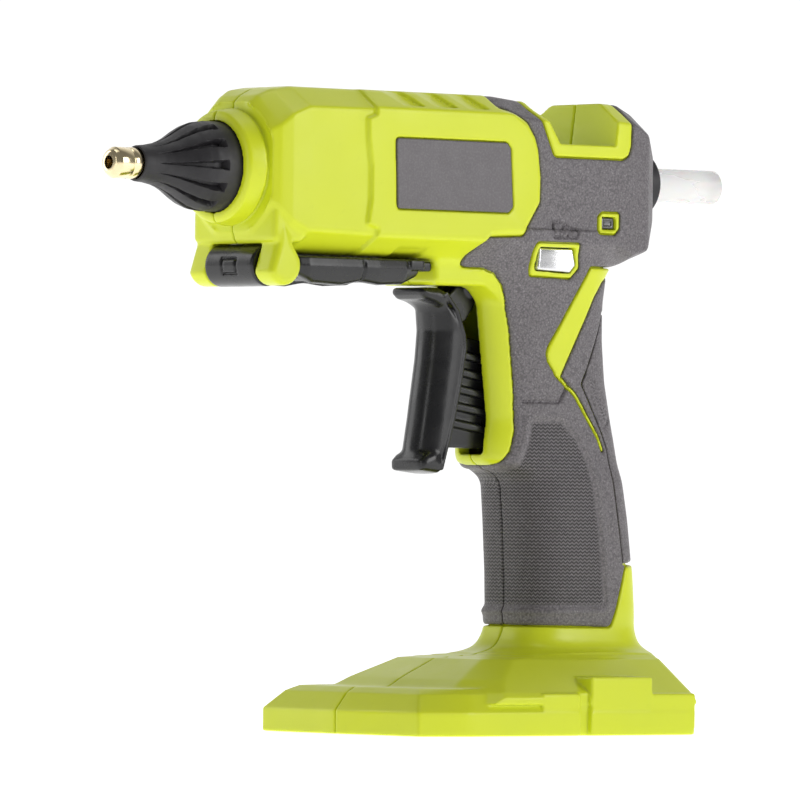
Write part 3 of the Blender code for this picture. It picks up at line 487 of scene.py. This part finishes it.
class Look:
    """A Principled material built up from procedural masks in the object's own space."""

    def __init__(self, name, colour, roughness, metallic=0.0, **sockets):
        self.made = bpy.data.materials.new(name)
        self.made.use_nodes = True
        self.tree = self.made.node_tree
        self.shader = self.tree.nodes["Principled BSDF"]
        self.colour = (*colour, 1.0)
        self.shader.inputs["Base Color"].default_value = self.colour
        self.shader.inputs["Roughness"].default_value = roughness
        self.shader.inputs["Metallic"].default_value = metallic
        for socket, value in sockets.items():
            self.shader.inputs[socket.replace("_", " ")].default_value = value
        self.place = wire(self.tree, "TexCoord").outputs["Object"]
        self.relief = None
        LOOKS[name] = self.made

    def math(self, operation, *values):
        return wire(self.tree, "Math", operation, *values).outputs[0]

    def noise(self, scale, detail=2.0, stretch=(1.0, 1.0, 1.0)):
        """Noise from 0 to 1, with scale features to a metre."""
        place = wire(self.tree, "VectorMath", "MULTIPLY", self.place, Vector(stretch)).outputs[0]
        return wire(self.tree, "TexNoise", None, place, Scale=scale, Detail=detail).outputs[0]

    def cells(self, scale):
        """Distance to the nearest of scattered points, as in a pebbled grain."""
        return wire(self.tree, "TexVoronoi", None, self.place, Scale=scale).outputs["Distance"]

    def spread(self, mask, low, high, bottom=0.0, top=1.0):
        """The mask's stretch from low to high, drawn out from bottom to top."""
        return wire(self.tree, "MapRange", None, mask, low, high, bottom, top).outputs[0]

    def tint(self, mask, colour):
        """Turns to another colour where the mask is 1."""
        socket = self.shader.inputs["Base Color"]
        base = socket.links[0].from_socket if socket.is_linked else self.colour
        mix = self.tree.nodes.new("ShaderNodeMix")
        mix.data_type = "RGBA"
        self.tree.links.new(mask, mix.inputs[0])
        if isinstance(base, bpy.types.NodeSocket):
            self.tree.links.new(base, mix.inputs[6])
        else:
            mix.inputs[6].default_value = base
        mix.inputs[7].default_value = (*colour, 1.0)
        self.tree.links.new(mix.outputs[2], socket)

    def rough(self, mask, low, high):
        self.tree.links.new(self.spread(mask, 0.3, 0.7, low, high), self.shader.inputs["Roughness"])

    def bump(self, height, depth, strength=1.0):
        """Adds relief that is depth millimetres deep."""
        node = wire(self.tree, "Bump", Strength=strength, Distance=depth * MM, Height=height)
        if self.relief:
            self.tree.links.new(self.relief, node.inputs["Normal"])
        self.relief = node.outputs["Normal"]
        self.tree.links.new(self.relief, self.shader.inputs["Normal"])
        return self


LOOKS = {}


def lime_plastic():
    look = Look("lime_plastic", LIME, 0.34, Specular_IOR_Level=0.45)
    look.tint(look.spread(look.noise(22.0), 0.35, 0.7), (LIME[0] * 0.94, LIME[1] * 0.95, LIME[2] * 1.2))
    specks = look.spread(look.noise(420.0, 3.0), 0.62, 0.8, 0.0, 0.35)
    look.tint(specks, (LIME[0] * 0.86, LIME[1] * 0.88, LIME[2]))
    look.rough(look.noise(90.0, 4.0), 0.29, 0.4)
    look.bump(look.noise(2100.0, 3.0), 0.012).bump(look.noise(160.0), 0.02, 0.5)


def charcoal_rubber():
    """Pebbled grain with painted highlights on its raised points, and a zigzag weave where the panel mark is,
    with painted highlights on its ridges and painted shade in its gaps.
    """
    look = Look("charcoal_rubber", GREY_RUBBER, 0.6, Specular_IOR_Level=0.42)
    grain = look.noise(1700.0, 4.0)
    pebbles = look.cells(1500.0)
    grain_highlight = look.spread(grain, 0.5, 0.75)
    # painted highlight: the grain's raised points are tinted lighter
    look.tint(grain_highlight, tuple(1.8 * c for c in GREY_RUBBER))
    look.tint(look.spread(pebbles, 0.4, 0.75, 0.0, 0.7), tuple(0.5 * c for c in GREY_RUBBER))
    look.rough(look.noise(300.0, 3.0), 0.4, 0.56)
    look.bump(grain, 0.16, 0.8)
    split = wire(look.tree, "SeparateXYZ", None, look.place)
    across = look.math("ABSOLUTE", split.outputs[1])
    along = look.math("ADD", split.outputs[0], across)
    zigzag = look.math("PINGPONG", look.math("MULTIPLY", along, 1.0 / (1.9 * MM)), 0.5)
    rise = look.math("MULTIPLY_ADD", split.outputs[2], 1.0 / (1.15 * MM), look.math("MULTIPLY", zigzag, 1.1))
    ridge = look.math("SINE", look.math("MULTIPLY", rise, 2.0 * math.pi))
    ridge = look.spread(ridge, -0.3, 0.7)
    mark = look.tree.nodes.new("ShaderNodeAttribute")
    mark.attribute_name = "panel"
    weave_and_highlight = look.math("MULTIPLY", ridge, mark.outputs["Fac"])
    shaded_gaps = look.math("MULTIPLY", look.math("SUBTRACT", 1.0, ridge), mark.outputs["Fac"])
    # painted shade: the weave's gaps are tinted dark
    look.tint(look.math("MULTIPLY", shaded_gaps, 0.85), tuple(0.12 * c for c in GREY_RUBBER))
    # painted highlight: the weave's ridges are tinted lighter
    look.tint(look.math("MULTIPLY", weave_and_highlight, 0.25), tuple(1.6 * c for c in GREY_RUBBER))
    look.bump(weave_and_highlight, 0.22)


def black_plastic():
    look = Look("black_plastic", (0.006, 0.006, 0.007), 0.2, Specular_IOR_Level=0.5)
    look.tint(look.spread(look.noise(60.0, 3.0), 0.4, 0.75, 0.0, 0.7), (0.012, 0.012, 0.013))
    look.rough(look.noise(130.0, 4.0), 0.2, 0.32)
    look.bump(look.noise(1500.0), 0.008).bump(look.noise(90.0), 0.03, 0.4)


def black_silicone():
    look = Look("black_silicone", (0.010, 0.009, 0.011), 0.42, Sheen_Weight=0.05, Sheen_Roughness=0.4)
    look.tint(look.spread(look.noise(70.0, 3.0), 0.4, 0.75), (0.022, 0.020, 0.023))
    look.rough(look.noise(240.0, 3.0), 0.42, 0.6)
    look.bump(look.noise(1800.0, 3.0), 0.02)


def metal(name, colour, roughness, stretch, dull):
    """Turned or drawn metal: fine lines one way, with duller patches."""
    look = Look(name, colour, roughness, 1.0)
    lines = look.noise(300.0, 3.0, stretch)
    look.tint(look.spread(look.noise(180.0, 3.0), 0.5, 0.8, 0.0, 0.8), dull)
    look.tint(look.spread(lines, 0.5, 0.7, 0.0, 0.25), tuple(0.8 * c for c in colour))
    look.rough(look.noise(220.0, 4.0), 0.7 * roughness, 1.5 * roughness)
    look.bump(lines, 0.008)


def glue():
    look = Look("glue", (0.93, 0.93, 0.92), 0.3, Transmission_Weight=0.4, IOR=1.42,
                Subsurface_Weight=0.25, Subsurface_Scale=0.004)
    look.tint(look.spread(look.noise(60.0, 3.0, (0.2, 1.0, 1.0)), 0.4, 0.7), (0.97, 0.97, 0.95))
    look.rough(look.noise(150.0, 3.0, (0.3, 1.0, 1.0)), 0.2, 0.38)
    look.bump(look.noise(900.0, 2.0, (0.15, 1.0, 1.0)), 0.006)


def badge_grey():
    look = Look("badge_grey", (0.115, 0.105, 0.112), 0.42)
    look.tint(look.spread(look.noise(1400.0, 3.0), 0.45, 0.75), (0.16, 0.15, 0.155))
    look.rough(look.noise(260.0, 3.0), 0.36, 0.5)
    look.bump(look.noise(1900.0, 2.0), 0.02)


def silver_button():
    look = Look("silver_button", (0.74, 0.74, 0.755), 0.24, 0.85)
    look.tint(look.spread(look.noise(200.0, 3.0), 0.45, 0.8, 0.0, 0.6), (0.62, 0.62, 0.64))
    look.rough(look.noise(400.0, 3.0, (0.2, 1.0, 1.0)), 0.2, 0.32)
    look.bump(look.noise(1500.0), 0.006)


def smoke_lens():
    look = Look("smoke_lens", (0.05, 0.05, 0.054), 0.1, Coat_Weight=0.6, Coat_Roughness=0.05)
    look.tint(look.spread(look.noise(300.0), 0.4, 0.7), (0.09, 0.09, 0.092))
    look.rough(look.noise(500.0, 3.0), 0.07, 0.18)
    look.bump(look.noise(900.0), 0.01)


def circuit_board():
    """Solder mask with tracks and pads showing through."""
    look = Look("circuit_board", (0.02, 0.17, 0.06), 0.4)
    split = wire(look.tree, "SeparateXYZ", None, look.place)
    steps = [look.math("SNAP", split.outputs[axis], 1.5 * MM) for axis in (0, 2)]
    snapped = wire(look.tree, "CombineXYZ", None, *steps).outputs[0]
    tracks = wire(look.tree, "TexNoise", None, snapped, Scale=420.0).outputs[0]
    look.tint(look.spread(tracks, 0.5, 0.53), (0.04, 0.3, 0.1))
    look.tint(look.spread(look.cells(260.0), 0.16, 0.12), (0.7, 0.5, 0.2))
    look.bump(look.spread(tracks, 0.5, 0.53), 0.035)


def heat_insulator():
    look = Look("heat_insulator", (0.78, 0.73, 0.62), 0.8)
    look.tint(look.spread(look.noise(700.0, 4.0), 0.5, 0.75), (0.62, 0.55, 0.43))
    look.rough(look.noise(300.0), 0.7, 0.9)
    look.bump(look.noise(900.0, 4.0), 0.06)


def red_wire():
    look = Look("red_wire", (0.55, 0.015, 0.012), 0.42)
    look.tint(look.spread(look.noise(90.0, 3.0), 0.45, 0.75), (0.42, 0.012, 0.012))
    look.rough(look.noise(250.0), 0.36, 0.52)
    look.bump(look.noise(700.0), 0.02)


def floor_paint():
    look = Look("floor", (0.95, 0.95, 0.95), 0.9)
    look.tint(look.spread(look.noise(0.8), 0.4, 0.7), (0.93, 0.93, 0.93))
    look.shader.inputs["Emission Color"].default_value = (1.0, 1.0, 1.0, 1.0)
    look.shader.inputs["Emission Strength"].default_value = 0.8
    return look.made


def make_looks():
    lime_plastic()
    charcoal_rubber()
    black_plastic()
    black_silicone()
    metal("brass", (0.86, 0.73, 0.46), 0.15, (12.0, 1.0, 1.0), (0.72, 0.56, 0.34))
    metal("steel", (0.58, 0.58, 0.60), 0.3, (1.0, 8.0, 1.0), (0.42, 0.42, 0.43))
    metal("aluminium", (0.75, 0.76, 0.77), 0.36, (8.0, 1.0, 1.0), (0.6, 0.6, 0.61))
    glue()
    badge_grey()
    silver_button()
    smoke_lens()
    circuit_board()
    heat_insulator()
    red_wire()


def paint_frame():
    """Gives every CAD node, shown or not, the finished material of its slot."""
    make_looks()
    for entry in frame["record"]["subparts"]:
        data = frame["nodes"][entry["node"]].data
        data.materials.clear()
        data.materials.append(LOOKS[entry["material_slot"]])


def dress(obj, look, body, *nodes):
    """The piece's material, the body it moves with and the CAD nodes that it stands for."""
    obj.data.materials.clear()
    obj.data.materials.append(LOOKS[look])
    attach(obj, body)
    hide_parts(*nodes)


def outer_form(g):
    """The whole outside of both halves: barrel, handle, trigger frame, foot, tray ears and nose ring."""
    flanks = np.clip((g.y - 8.0) / 4.0, 0.0, 1.0)
    front, rear = g.side(PAD_FRONT), g.side(rounded(GREY, GREY_ROUND))
    pad = np.maximum(2.6 * front, -rear)
    barrel = barrel_field(g, pad)
    handle = handle_field(g)
    bridge = smax(g.side(BRIDGE), g.y - 14.2, 2.0)
    outer = smin(smin(barrel, handle, 5.0), bridge, 3.0)
    outer = smin(outer, foot_field(g), 6.0)
    outer = smin(smin(outer, chin_field(g), 1.5), nose_field(g), 0.6)
    panel = g.side(rounded(GRIP_PANEL, PANEL_ROUND))
    outer += np.clip(-panel / 1.2, 0.0, 1.0) * 0.6 - np.clip(1.0 - np.abs(panel - 1.0) / 1.2, 0.0, 1.0) * 0.35
    outer += np.clip(1.0 - g.near_path(GRIP_CREASE) / 0.9, 0.0, 1.0) * 1.2 * flanks
    outer += np.clip(1.0 - np.abs(g.side(STRAP_PATCH)) / 0.7, 0.0, 1.0) * 0.6 * flanks
    outer += np.clip(-g.side(LATCH_RECESS) / 0.8, 0.0, 1.0) * 0.8 * flanks
    for bar in CHARGE_BARS:
        outer += np.clip(1.0 - np.abs(g.side(bar)) / 0.75, 0.0, 1.0) * 1.1 * flanks
    return outer, barrel, handle, bridge


def hollow_form(g, barrel, handle, bridge):
    """What is empty inside the housing, and every hole through its wall that both halves have."""
    radius, trough = g.axial(), g.side(TROUGH)
    space = merge(barrel, np.maximum(handle, 79.0 - g.z), bridge) + WALL
    bosses = merge(*[g.across(d, z) for d, z in SCREWS])
    space = meet(space, WALL - trough, 5.2 - bosses)
    recess = foot_layer(g, [
        (-6.0, 100.0, 40.5, 211.0, 35.5, 17.0), (7.0, 100.0, 40.5, 211.0, 35.5, 17.0),
        (9.5, 106.0, 35.0, 208.0, 30.0, 15.0),
    ], 0.8)
    slot = [(137.0, 160.0), (137.0, 140.0), (146.0, 90.8), (166.0, 90.8), (166.0, 160.0)]
    d, z = TRAY_HINGE
    arm_space = g.box(d, d + 12.0, -13.0, 13.0, z - 9.0, z + 5.6)
    return merge(
        space,
        g.box(176.5, 203.0, -11.0, 11.0, -6.0, 82.0, 1.0),  # battery socket
        recess,
        smax(g.side(rounded(slot, 3.0)), g.y - 5.9, 1.2),
        np.maximum(merge(g.across(d, z) - 7.4, arm_space), g.y - 12.4),  # room for the tray's barrel
        np.maximum(radius - 14.7, g.d - 60.0),  # seat of the boot
        np.maximum(radius - 10.9, 205.0 - g.d),  # seat of the rear collar
        np.maximum(g.across(d, z) - 1.8, g.y - 18.0),  # bore of the tray's pin
        np.maximum(bosses - 1.6, g.y - 9.3),  # screw bores
        np.maximum(g.side(rounded(BADGE, BADGE_ROUND)) - GAP, 22.7 - g.y),
        np.maximum(trough, g.y - 60.0),
        meet(np.abs(g.d - 50.3) - 0.5, 18.0 - radius, radius - 21.5),  # groove behind the nose ring
    )


def housing_and_grips():
    """The two hard halves, and the two soft skins moulded on them."""
    g = Grid((41.0, 227.0), (0.0, 44.5), (0.0, 208.5), 0.5)
    grey = g.side(rounded(GREY, GREY_ROUND))
    outer, *parts = outer_form(g)
    solid = meet(outer, -hollow_form(g, *parts), 0.5 * GAP - g.y)
    skin_floor = -(outer + SKIN)
    del parts

    far_region = meet(grey, -g.side(rounded(STRIPE, 1.0)), -g.side(rounded(SADDLE, 2.0)),
                      0.55 - g.near_path(PINSTRIPE))
    near_region = meet(far_region, -g.side(rounded(BUTTON_FRAME, 1.2)), -g.side(rounded(LIGHT_FRAME, 0.8)))
    windows = merge(g.side(rounded(BUTTON_HOLE, BUTTON_ROUND)), g.side(rounded(LIGHT_HOLE, 0.5)))
    windows = np.maximum(windows, 9.0 - g.y)
    wells = np.maximum(merge(*[g.across(d, z) - 3.3 for d, z in SCREWS]), 12.0 - g.y)
    strap = g.side(BACKSTRAP)
    for side, region, cut in (("left", near_region, windows), ("right", far_region, wells)):
        rebate = np.maximum(region - 0.5 * GAP, skin_floor - GAP)
        body = smax(np.maximum(solid, -cut), -rebate, 0.8)
        body = carved(f"body_{side}", body, g, 130000, mirror=side == "left")
        dress(body, "lime_plastic", "housing", f"housing_{side}")
        skin = meet(smax(solid + 0.05, region + 0.5 * GAP, 1.0), skin_floor, -cut)
        skin = smax(skin, 0.5 * GAP - strap, 0.8)
        grip = carved(f"grip_{side}", skin, g, 80000, mirror=side == "left")
        mark_panel(grip, GRIP_PANEL)
        dress(grip, "charcoal_rubber", "housing", f"overmould_{side}")


def mark_panel(obj, outline):
    """Stores how far inside the outline each point is, for the material's woven relief."""
    mesh = obj.data
    places = np.empty(len(mesh.vertices) * 3, np.float32)
    mesh.vertices.foreach_get("co", places)
    places = places.reshape(-1, 3)
    d, z = places[:, 0] / MM - TIP_X / MM, places[:, 2] / MM
    inside = -outline_distance(rounded(outline, PANEL_ROUND), d, z)
    layer = mesh.attributes.new("panel", "FLOAT", "POINT")
    layer.data.foreach_set("value", np.clip(inside - 1.0, 0.0, 1.0).astype(np.float32))


def backstrap():
    g = Grid((182.0, 214.0), (-24.0, 24.0), (54.0, 144.0), 0.5, fold=True)
    outer = outer_form(g)[0]
    strip = smax(g.side(BACKSTRAP) + 0.5 * GAP, outer + 0.1, 0.8)
    obj = carved("backstrap", np.maximum(strip, -(outer + SKIN)), g, 40000)
    mark_panel(obj, STRAP_PATCH)
    dress(obj, "charcoal_rubber", "housing", "handle_backstrap")


# ---------------------------------------------------------------- small mouldings

def badges():
    for side, sign in (("left", -1.0), ("right", 1.0)):
        g = Grid((98.4, 149.4), (22.8, 24.6), (168.4, 192.2), 0.25)
        edge = g.side(rounded(BADGE, BADGE_ROUND))
        face = np.abs(g.y - 23.65) - 0.65
        plate = carved(f"badge_plate_{side}", smax(edge, face, 0.5), g, 9000, mirror=sign < 0)
        dress(plate, "badge_grey", "housing", f"badge_{side}")


def trigger():
    """Rounded finger plate with a lip at each end and a thin rim down its rear edges."""
    g = Grid((122.4, 155.0), (-9.0, 9.0), (83.0, 173.0), 0.36, fold=True)
    shape = rounded(TRIGGER, 2.0)
    deep = [(d + 9.0, z) if index in TRIGGER_BACK else (d, z) for index, (d, z) in enumerate(TRIGGER)]
    body = smax(smax(g.side(rounded(deep, 3.0)), g.y - 8.3, 9.0), g.side(shape), 0.6)
    for lip in (UPPER_LIP, LOWER_LIP):
        body = smin(body, smax(g.side(rounded(lip, 1.2)), g.y - 8.45, 2.6), 2.2)
    rim = np.maximum(smax(g.near_path(TRIGGER_REAR) - 0.65, g.y - 8.5, 0.4), 7.4 - g.y)
    body = smin(body, rim, 0.3)
    hollow = [(132.4, 92.0), (150.0, 92.0), (150.0, 129.8), (140.6, 129.8), (138.8, 121.2), (134.8, 102.0)]
    body = np.maximum(body, -smax(g.side(rounded(hollow, 1.5)), g.y - 5.3, 1.0))
    neck = [(137.0, 141.0), (141.5, 132.0), (146.0, 134.0), (153.6, 145.0), (152.0, 149.0), (146.0, 149.5)]
    arm = [(146.8, 147.0), (152.2, 147.0), (151.7, 171.6), (150.6, 172.6), (148.4, 172.6), (147.3, 171.6)]
    body = smin(body, smax(g.side(rounded(neck, 2.0)), g.y - 4.8, 0.8), 0.8)
    body = smin(body, smax(g.across(*TRIGGER_PIVOT) - 4.6, g.y - 5.6, 0.8), 0.6)
    body = smin(body, smax(g.side(arm), g.y - 2.5, 0.8), 0.8)
    bores = merge(g.across(*TRIGGER_PIVOT) - 1.75, g.across(TRIGGER_PIVOT[0], 170.0) - 1.65)
    obj = carved("trigger_lever", np.maximum(body, -bores), g, 60000)
    dress(obj, "black_plastic", "trigger", "trigger")


def trigger_shield():
    """Plate behind the trigger, with slanted ribs that close the slot."""
    g = Grid((132.0, 160.5), (-5.2, 5.2), (91.6, 130.0), 0.3, fold=True)
    plate = [
        (133.4, 95.4), (138.6, 92.8), (158.0, 92.6), (159.4, 127.0), (143.0, 129.3), (140.6, 129.3),
        (138.4, 121.2), (134.4, 102.0),
    ]
    body = smax(g.side(rounded(plate, 1.5)), g.y - 3.3, 0.6)
    for i in range(5):
        z, start = 99.5 + 5.6 * i, 136.6 + 1.0 * i
        rib = [(start, z + 3.4), (start, z + 0.6), (157.6, z - 2.6), (157.6, z + 0.2)]
        body = smin(body, smax(g.side(rib), g.y - 4.85, 1.2), 0.4)
    dress(carved("shield_ribs", body, g, 20000), "black_plastic", "trigger", "trigger_shield")


def drip_tray():
    """Hinge barrel with an inset tab, a neck, two pans with scalloped undersides and a clip."""
    g = Grid((48.0, 125.5), (-19.0, 19.0), (142.0, 157.5), 0.36, fold=True)
    d, z = TRAY_HINGE
    along = g.d[:, 0, 0]
    half = np.interp(along, (65.0, 69.0, 98.0, 110.0, 116.5, 119.0), (17.0, 18.0, 18.0, 17.5, 15.2, 12.5))
    low = np.interp(along, (65.0, 72.0, 84.0, 91.4, 92.4, 100.0, 110.0, 116.5, 119.0),
                    (147.2, 144.4, 143.9, 145.2, 145.2, 144.4, 144.9, 147.4, 149.4))
    half, low = half.astype(np.float32)[:, None, None], low.astype(np.float32)[:, None, None]
    band = g.y - half + 0.25 * np.maximum(g.z - 149.6, 0.0)
    under = (g.y - half + 0.55 * (149.4 - g.z)) / 1.14
    pans = smax(smax(band, under, 0.9), low - g.z, 1.6)
    pans = meet(smax(pans, g.z - 153.0, 0.6), 65.0 - g.d, g.d - 119.0)
    seam = np.clip(1.0 - np.abs(g.d - 91.8) / 0.7, 0.0, 1.0) * np.clip((152.4 - g.z) / 1.0, 0.0, 1.0)
    pans = pans + 0.55 * seam
    wells = merge(*[
        g.box(start, end, -12.8, 12.8, 140.0, 150.6, 1.8) for start, end in ((71.0, 90.4), (93.2, 112.0))
    ])
    body = smin(smax(pans, -wells, 0.6), g.box(d + 2.0, 68.0, -11.6, 11.6, 144.6, 153.0, 1.0), 0.8)
    body = smin(body, g.box(116.0, 124.0, -13.0, 13.0, 149.4, 152.6, 0.8), 0.5)
    body = smin(body, g.box(111.5, 117.5, -17.2, 17.2, 149.6, 152.9, 0.5), 0.3)
    barrel = smax(g.across(d, z) - 6.75, g.y - 12.0, 0.8)
    tab = np.maximum(np.abs(g.z - z + 0.3) - 2.3, g.y - 3.4)
    frame_cut = meet(np.abs(tab) - 0.35, g.d - d, 6.0 - g.across(d, z))
    body = merge(body, barrel)
    body = meet(body, -frame_cut, 1.8 - g.across(d, z))
    dress(carved("tray", body, g, 60000), "black_plastic", "tray", "drip_tray")


def button_and_lens():
    g = Grid((161.4, 180.6), (-22.4, -17.0), (149.2, 159.6), 0.22)
    dish = 0.9 * np.clip(1.0 - ((g.d - 171.5) / 9.0) ** 2, 0.0, 1.0)
    cap = smax(g.side(rounded(BUTTON_HOLE, BUTTON_ROUND)) + 0.35, -21.85 + dish - g.y, 0.7)
    cap = np.maximum(cap, g.y + 18.9)
    stem = np.maximum(g.across(171.5, 154.4) - 1.8, np.abs(g.y + 18.4) - 1.0)
    dress(carved("button_cap", smin(cap, stem, 0.3), g, 14000), "silver_button", "button", "power_button")
    g = Grid((188.8, 195.6), (-22.4, -18.2), (164.6, 169.3), 0.16)
    pane = smax(g.side(rounded(LIGHT_HOLE, 0.4)) + 0.3, -21.6 - g.y, 0.4)
    pane = meet(pane, g.y + 18.4, -g.box(190.6, 193.8, -24.0, -21.2, 166.0, 167.8, 0.2))
    dress(carved("light_pane", pane, g, 8000), "smoke_lens", "housing", "light_lens")


# ---------------------------------------------------------------- turned pieces

def spun(name, profile, place, steps=72, wave=None, closed=True):
    """A profile of (along, radius) points spun round; place says where (along, across, up) is."""
    bm = bmesh.new()
    rings = []
    for along, radius in profile:
        ring = []
        for i in range(steps):
            angle = 2.0 * math.pi * i / steps
            r = radius - (wave(along, radius, angle) if wave else 0.0)
            ring.append(bm.verts.new(place(along, r * math.sin(angle), r * math.cos(angle))))
        rings.append(ring)
    following = rings[1:] + rings[:1] if closed else rings[1:]
    for low, high in zip(rings, following):
        for i in range(steps):
            j = (i + 1) % steps
            bm.faces.new((low[i], low[j], high[j], high[i]))
    if not closed:
        bm.faces.new(rings[0])
        bm.faces.new(rings[-1])
    bmesh.ops.recalc_face_normals(bm, faces=bm.faces)
    mesh = bpy.data.meshes.new(name)
    bm.to_mesh(mesh)
    bm.free()
    return settle(link(bpy.data.objects.new(name, mesh)), 35.0)


def on_axis(along, across, up):
    return at(along, across, AXIS_Z + up)


def finer(profile, step):
    """The profile with points added along its longer runs."""
    dense = []
    for (d0, r0), (d1, r1) in zip(profile, profile[1:]):
        count = max(1, round(math.hypot(d1 - d0, r1 - r0) / step))
        dense += [(d0 + (d1 - d0) * i / count, r0 + (r1 - r0) * i / count) for i in range(count)]
    return dense + [profile[-1]]


def nozzle_and_boot():
    profile = [
        (0.0, 2.1), (0.0, 3.0), (0.2, 3.6), (0.8, 4.2), (1.7, 4.6), (2.0, 4.95), (2.4, 5.0), (6.6, 5.0),
        (6.8, 4.9), (7.0, 4.9), (7.2, 5.0), (9.7, 5.0), (10.0, 4.8), (10.0, 4.5), (16.0, 4.5), (16.0, 6.1),
        (44.0, 6.1), (44.0, 3.9), (52.0, 3.9), (52.0, 2.1), (1.0, 2.1), (0.4, 2.25),
    ]
    dress(spun("nozzle_tip", profile, on_axis, 64), "brass", "housing", "nozzle")

    def flute(d, radius, angle):
        pitch = 2.0 * math.pi / 12
        off = abs((angle / pitch + 0.5) % 1.0 - 0.5) * 30.0  # degrees from the flute's middle
        width = np.interp(d, (15.0, 38.0), (1.4, 6.6))
        deep = np.interp(d, (15.0, 26.0, 37.0, 37.9), (0.0, 1.3, 3.0, 0.0))
        outside = np.interp(radius, (5.2, 5.4), (0.0, 1.0))
        return float(outside * deep * np.clip((width - off) / 1.8, 0.0, 1.0))

    flare = [
        (10.6, 5.3), (10.8, 5.6), (11.2, 5.75), (14.0, 6.0), (18.0, 6.7), (21.0, 7.7), (24.0, 9.1),
        (28.0, 11.4), (31.0, 12.9), (34.0, 13.9), (37.0, 14.3), (37.9, 14.35), (44.3, 14.4), (44.8, 14.1),
    ]
    inside = [(44.8, 12.2), (41.0, 12.0), (40.4, 4.9), (15.6, 4.9), (10.6, 5.1)]
    boot = spun("boot", finer(flare, 0.55) + inside, on_axis, 360, flute)
    dress(boot, "black_silicone", "housing", "nozzle_boot")


def stick_and_collar():
    front, rear = 76.0, 258.0
    stick = [(front, 0.5), (front, 5.0), (front + 0.6, 5.6), (rear - 0.5, 5.6), (rear, 5.1), (rear, 0.5)]
    dress(spun("stick", finer(stick, 6.0), on_axis, 72, closed=False), "glue", "stick", "glue_stick")
    collar = [
        (203.0, 6.2), (203.0, 8.0), (207.0, 8.0), (207.0, 10.3), (222.6, 10.5), (223.0, 10.6), (225.3, 10.6),
        (226.0, 9.9), (226.0, 7.4), (225.0, 6.6), (223.0, 6.2),
    ]
    dress(spun("collar", finer(collar, 3.0), on_axis, 72), "black_silicone", "housing", "inlet_collar")


def screws():
    """Pan heads with a six-lobed recess, on round shanks."""
    def lobes(along, radius, angle):
        return 0.22 * math.cos(6.0 * angle) if 1.0 < radius < 1.3 else 0.0

    profile = [
        (-9.0, 0.6), (-8.2, 1.4), (12.3, 1.4), (12.3, 2.7), (12.6, 2.9), (13.6, 2.9), (14.4, 2.5),
        (14.8, 1.8), (14.8, 1.2), (13.3, 1.15), (13.0, 0.4),
    ]
    for i, (d, z) in enumerate(SCREWS):
        def place(along, across, up, d=d, z=z):
            return at(d + across, along, z + up)

        screw = spun(f"screw_{i + 1}", profile, place, 36, lobes, closed=False)
        dress(screw, "steel", "housing", f"housing_screw_{i + 1}")


def return_spring():
    """The spring in front of the carriage, whose coils close up as the carriage moves forward; here a fixed
    copy of its CAD mesh.
    """
    node = frame["nodes"]["return_spring"]
    mesh = node.data.copy()
    mesh.transform(node.matrix_world)
    coil = link(bpy.data.objects.new("return_coil", mesh))
    coil.data.materials.clear()
    coil.data.materials.append(LOOKS["steel"])
    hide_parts("return_spring")
    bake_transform(coil)


# ---------------------------------------------------------------- camera, light, floor

def put_camera():
    """A long lens a little above half the object's height, level but for a slight roll."""
    data = bpy.data.cameras.new("camera")
    cam = link(bpy.data.objects.new("camera", data))
    azimuth, rise, roll = (math.radians(angle) for angle in (-40.6, -0.7, 0.66))
    distance = 3.04  # metres
    scale, picture = 3.082, 800.0  # points to a millimetre at that distance, and points across
    ahead = Vector((-math.sin(azimuth) * math.cos(rise), math.cos(azimuth) * math.cos(rise), -math.sin(rise)))
    right = Vector((math.cos(azimuth), math.sin(azimuth), 0.0))
    up = right.cross(ahead)
    cam.location = Vector((0.0, 0.0, 0.107)) - right * 0.0052 + up * 0.001 - ahead * distance
    data.lens = scale * distance * 1000.0 * data.sensor_width / picture
    data.clip_start, data.clip_end = 0.5, 60.0
    turn = ahead.to_track_quat("-Z", "Y").to_matrix().to_4x4() @ Matrix.Rotation(roll, 4, "Z")
    cam.rotation_euler = turn.to_euler()
    bpy.context.scene.camera = cam


def area_light(name, place, width, height, energy):
    data = bpy.data.lights.new(name, "AREA")
    data.shape = "RECTANGLE"
    data.size = width
    data.size_y = height
    data.energy = energy
    lamp = link(bpy.data.objects.new(name, data))
    lamp.location = place
    lamp.rotation_euler = (Vector(place) - Vector((0.0, 0.0, 0.1))).to_track_quat("Z", "Y").to_euler()


def put_stage():
    reach = 12.0  # metres of floor to each side
    bm = bmesh.new()
    bmesh.ops.create_grid(bm, x_segments=8, y_segments=8, size=reach)
    mesh = bpy.data.meshes.new("floor")
    bm.to_mesh(mesh)
    bm.free()
    floor = link(bpy.data.objects.new("floor", mesh))
    floor.location.z = -0.0002
    floor.data.materials.append(floor_paint())
    world = bpy.data.worlds.new("studio")
    world.use_nodes = True
    tree = world.node_tree
    background = tree.nodes["Background"]
    facing = wire(tree, "TexCoord").outputs["Generated"]
    toward = wire(tree, "VectorMath", "DOT_PRODUCT", facing, Vector(BACKDROP)).outputs["Value"]
    dim, bright = 0.20, 1.06  # strength of the sky around the studio, and of the backdrop
    level = wire(tree, "MapRange", None, toward, 0.3, 0.9, dim, bright).outputs[0]
    tree.links.new(level, background.inputs["Strength"])
    background.inputs["Color"].default_value = (1.0, 1.0, 1.0, 1.0)
    bpy.context.scene.world = world
    area_light("side_box", (0.85, -1.50, 0.65), 0.9, 0.9, 10.5)
    area_light("strip_box", (-1.70, -0.10, 0.30), 0.22, 1.3, 2.4)
    area_light("rim_box", (-0.75, 1.30, 0.60), 0.5, 1.2, 4.0)
    area_light("top_box", (0.05, 0.10, 1.80), 1.0, 1.0, 5.5)
    bpy.context.scene.view_settings.view_transform = "Standard"


paint_frame()
housing_and_grips()
backstrap()
badges()
trigger()
trigger_shield()
drip_tray()
button_and_lens()
nozzle_and_boot()
stick_and_collar()
screws()
return_spring()
put_camera()
put_stage()
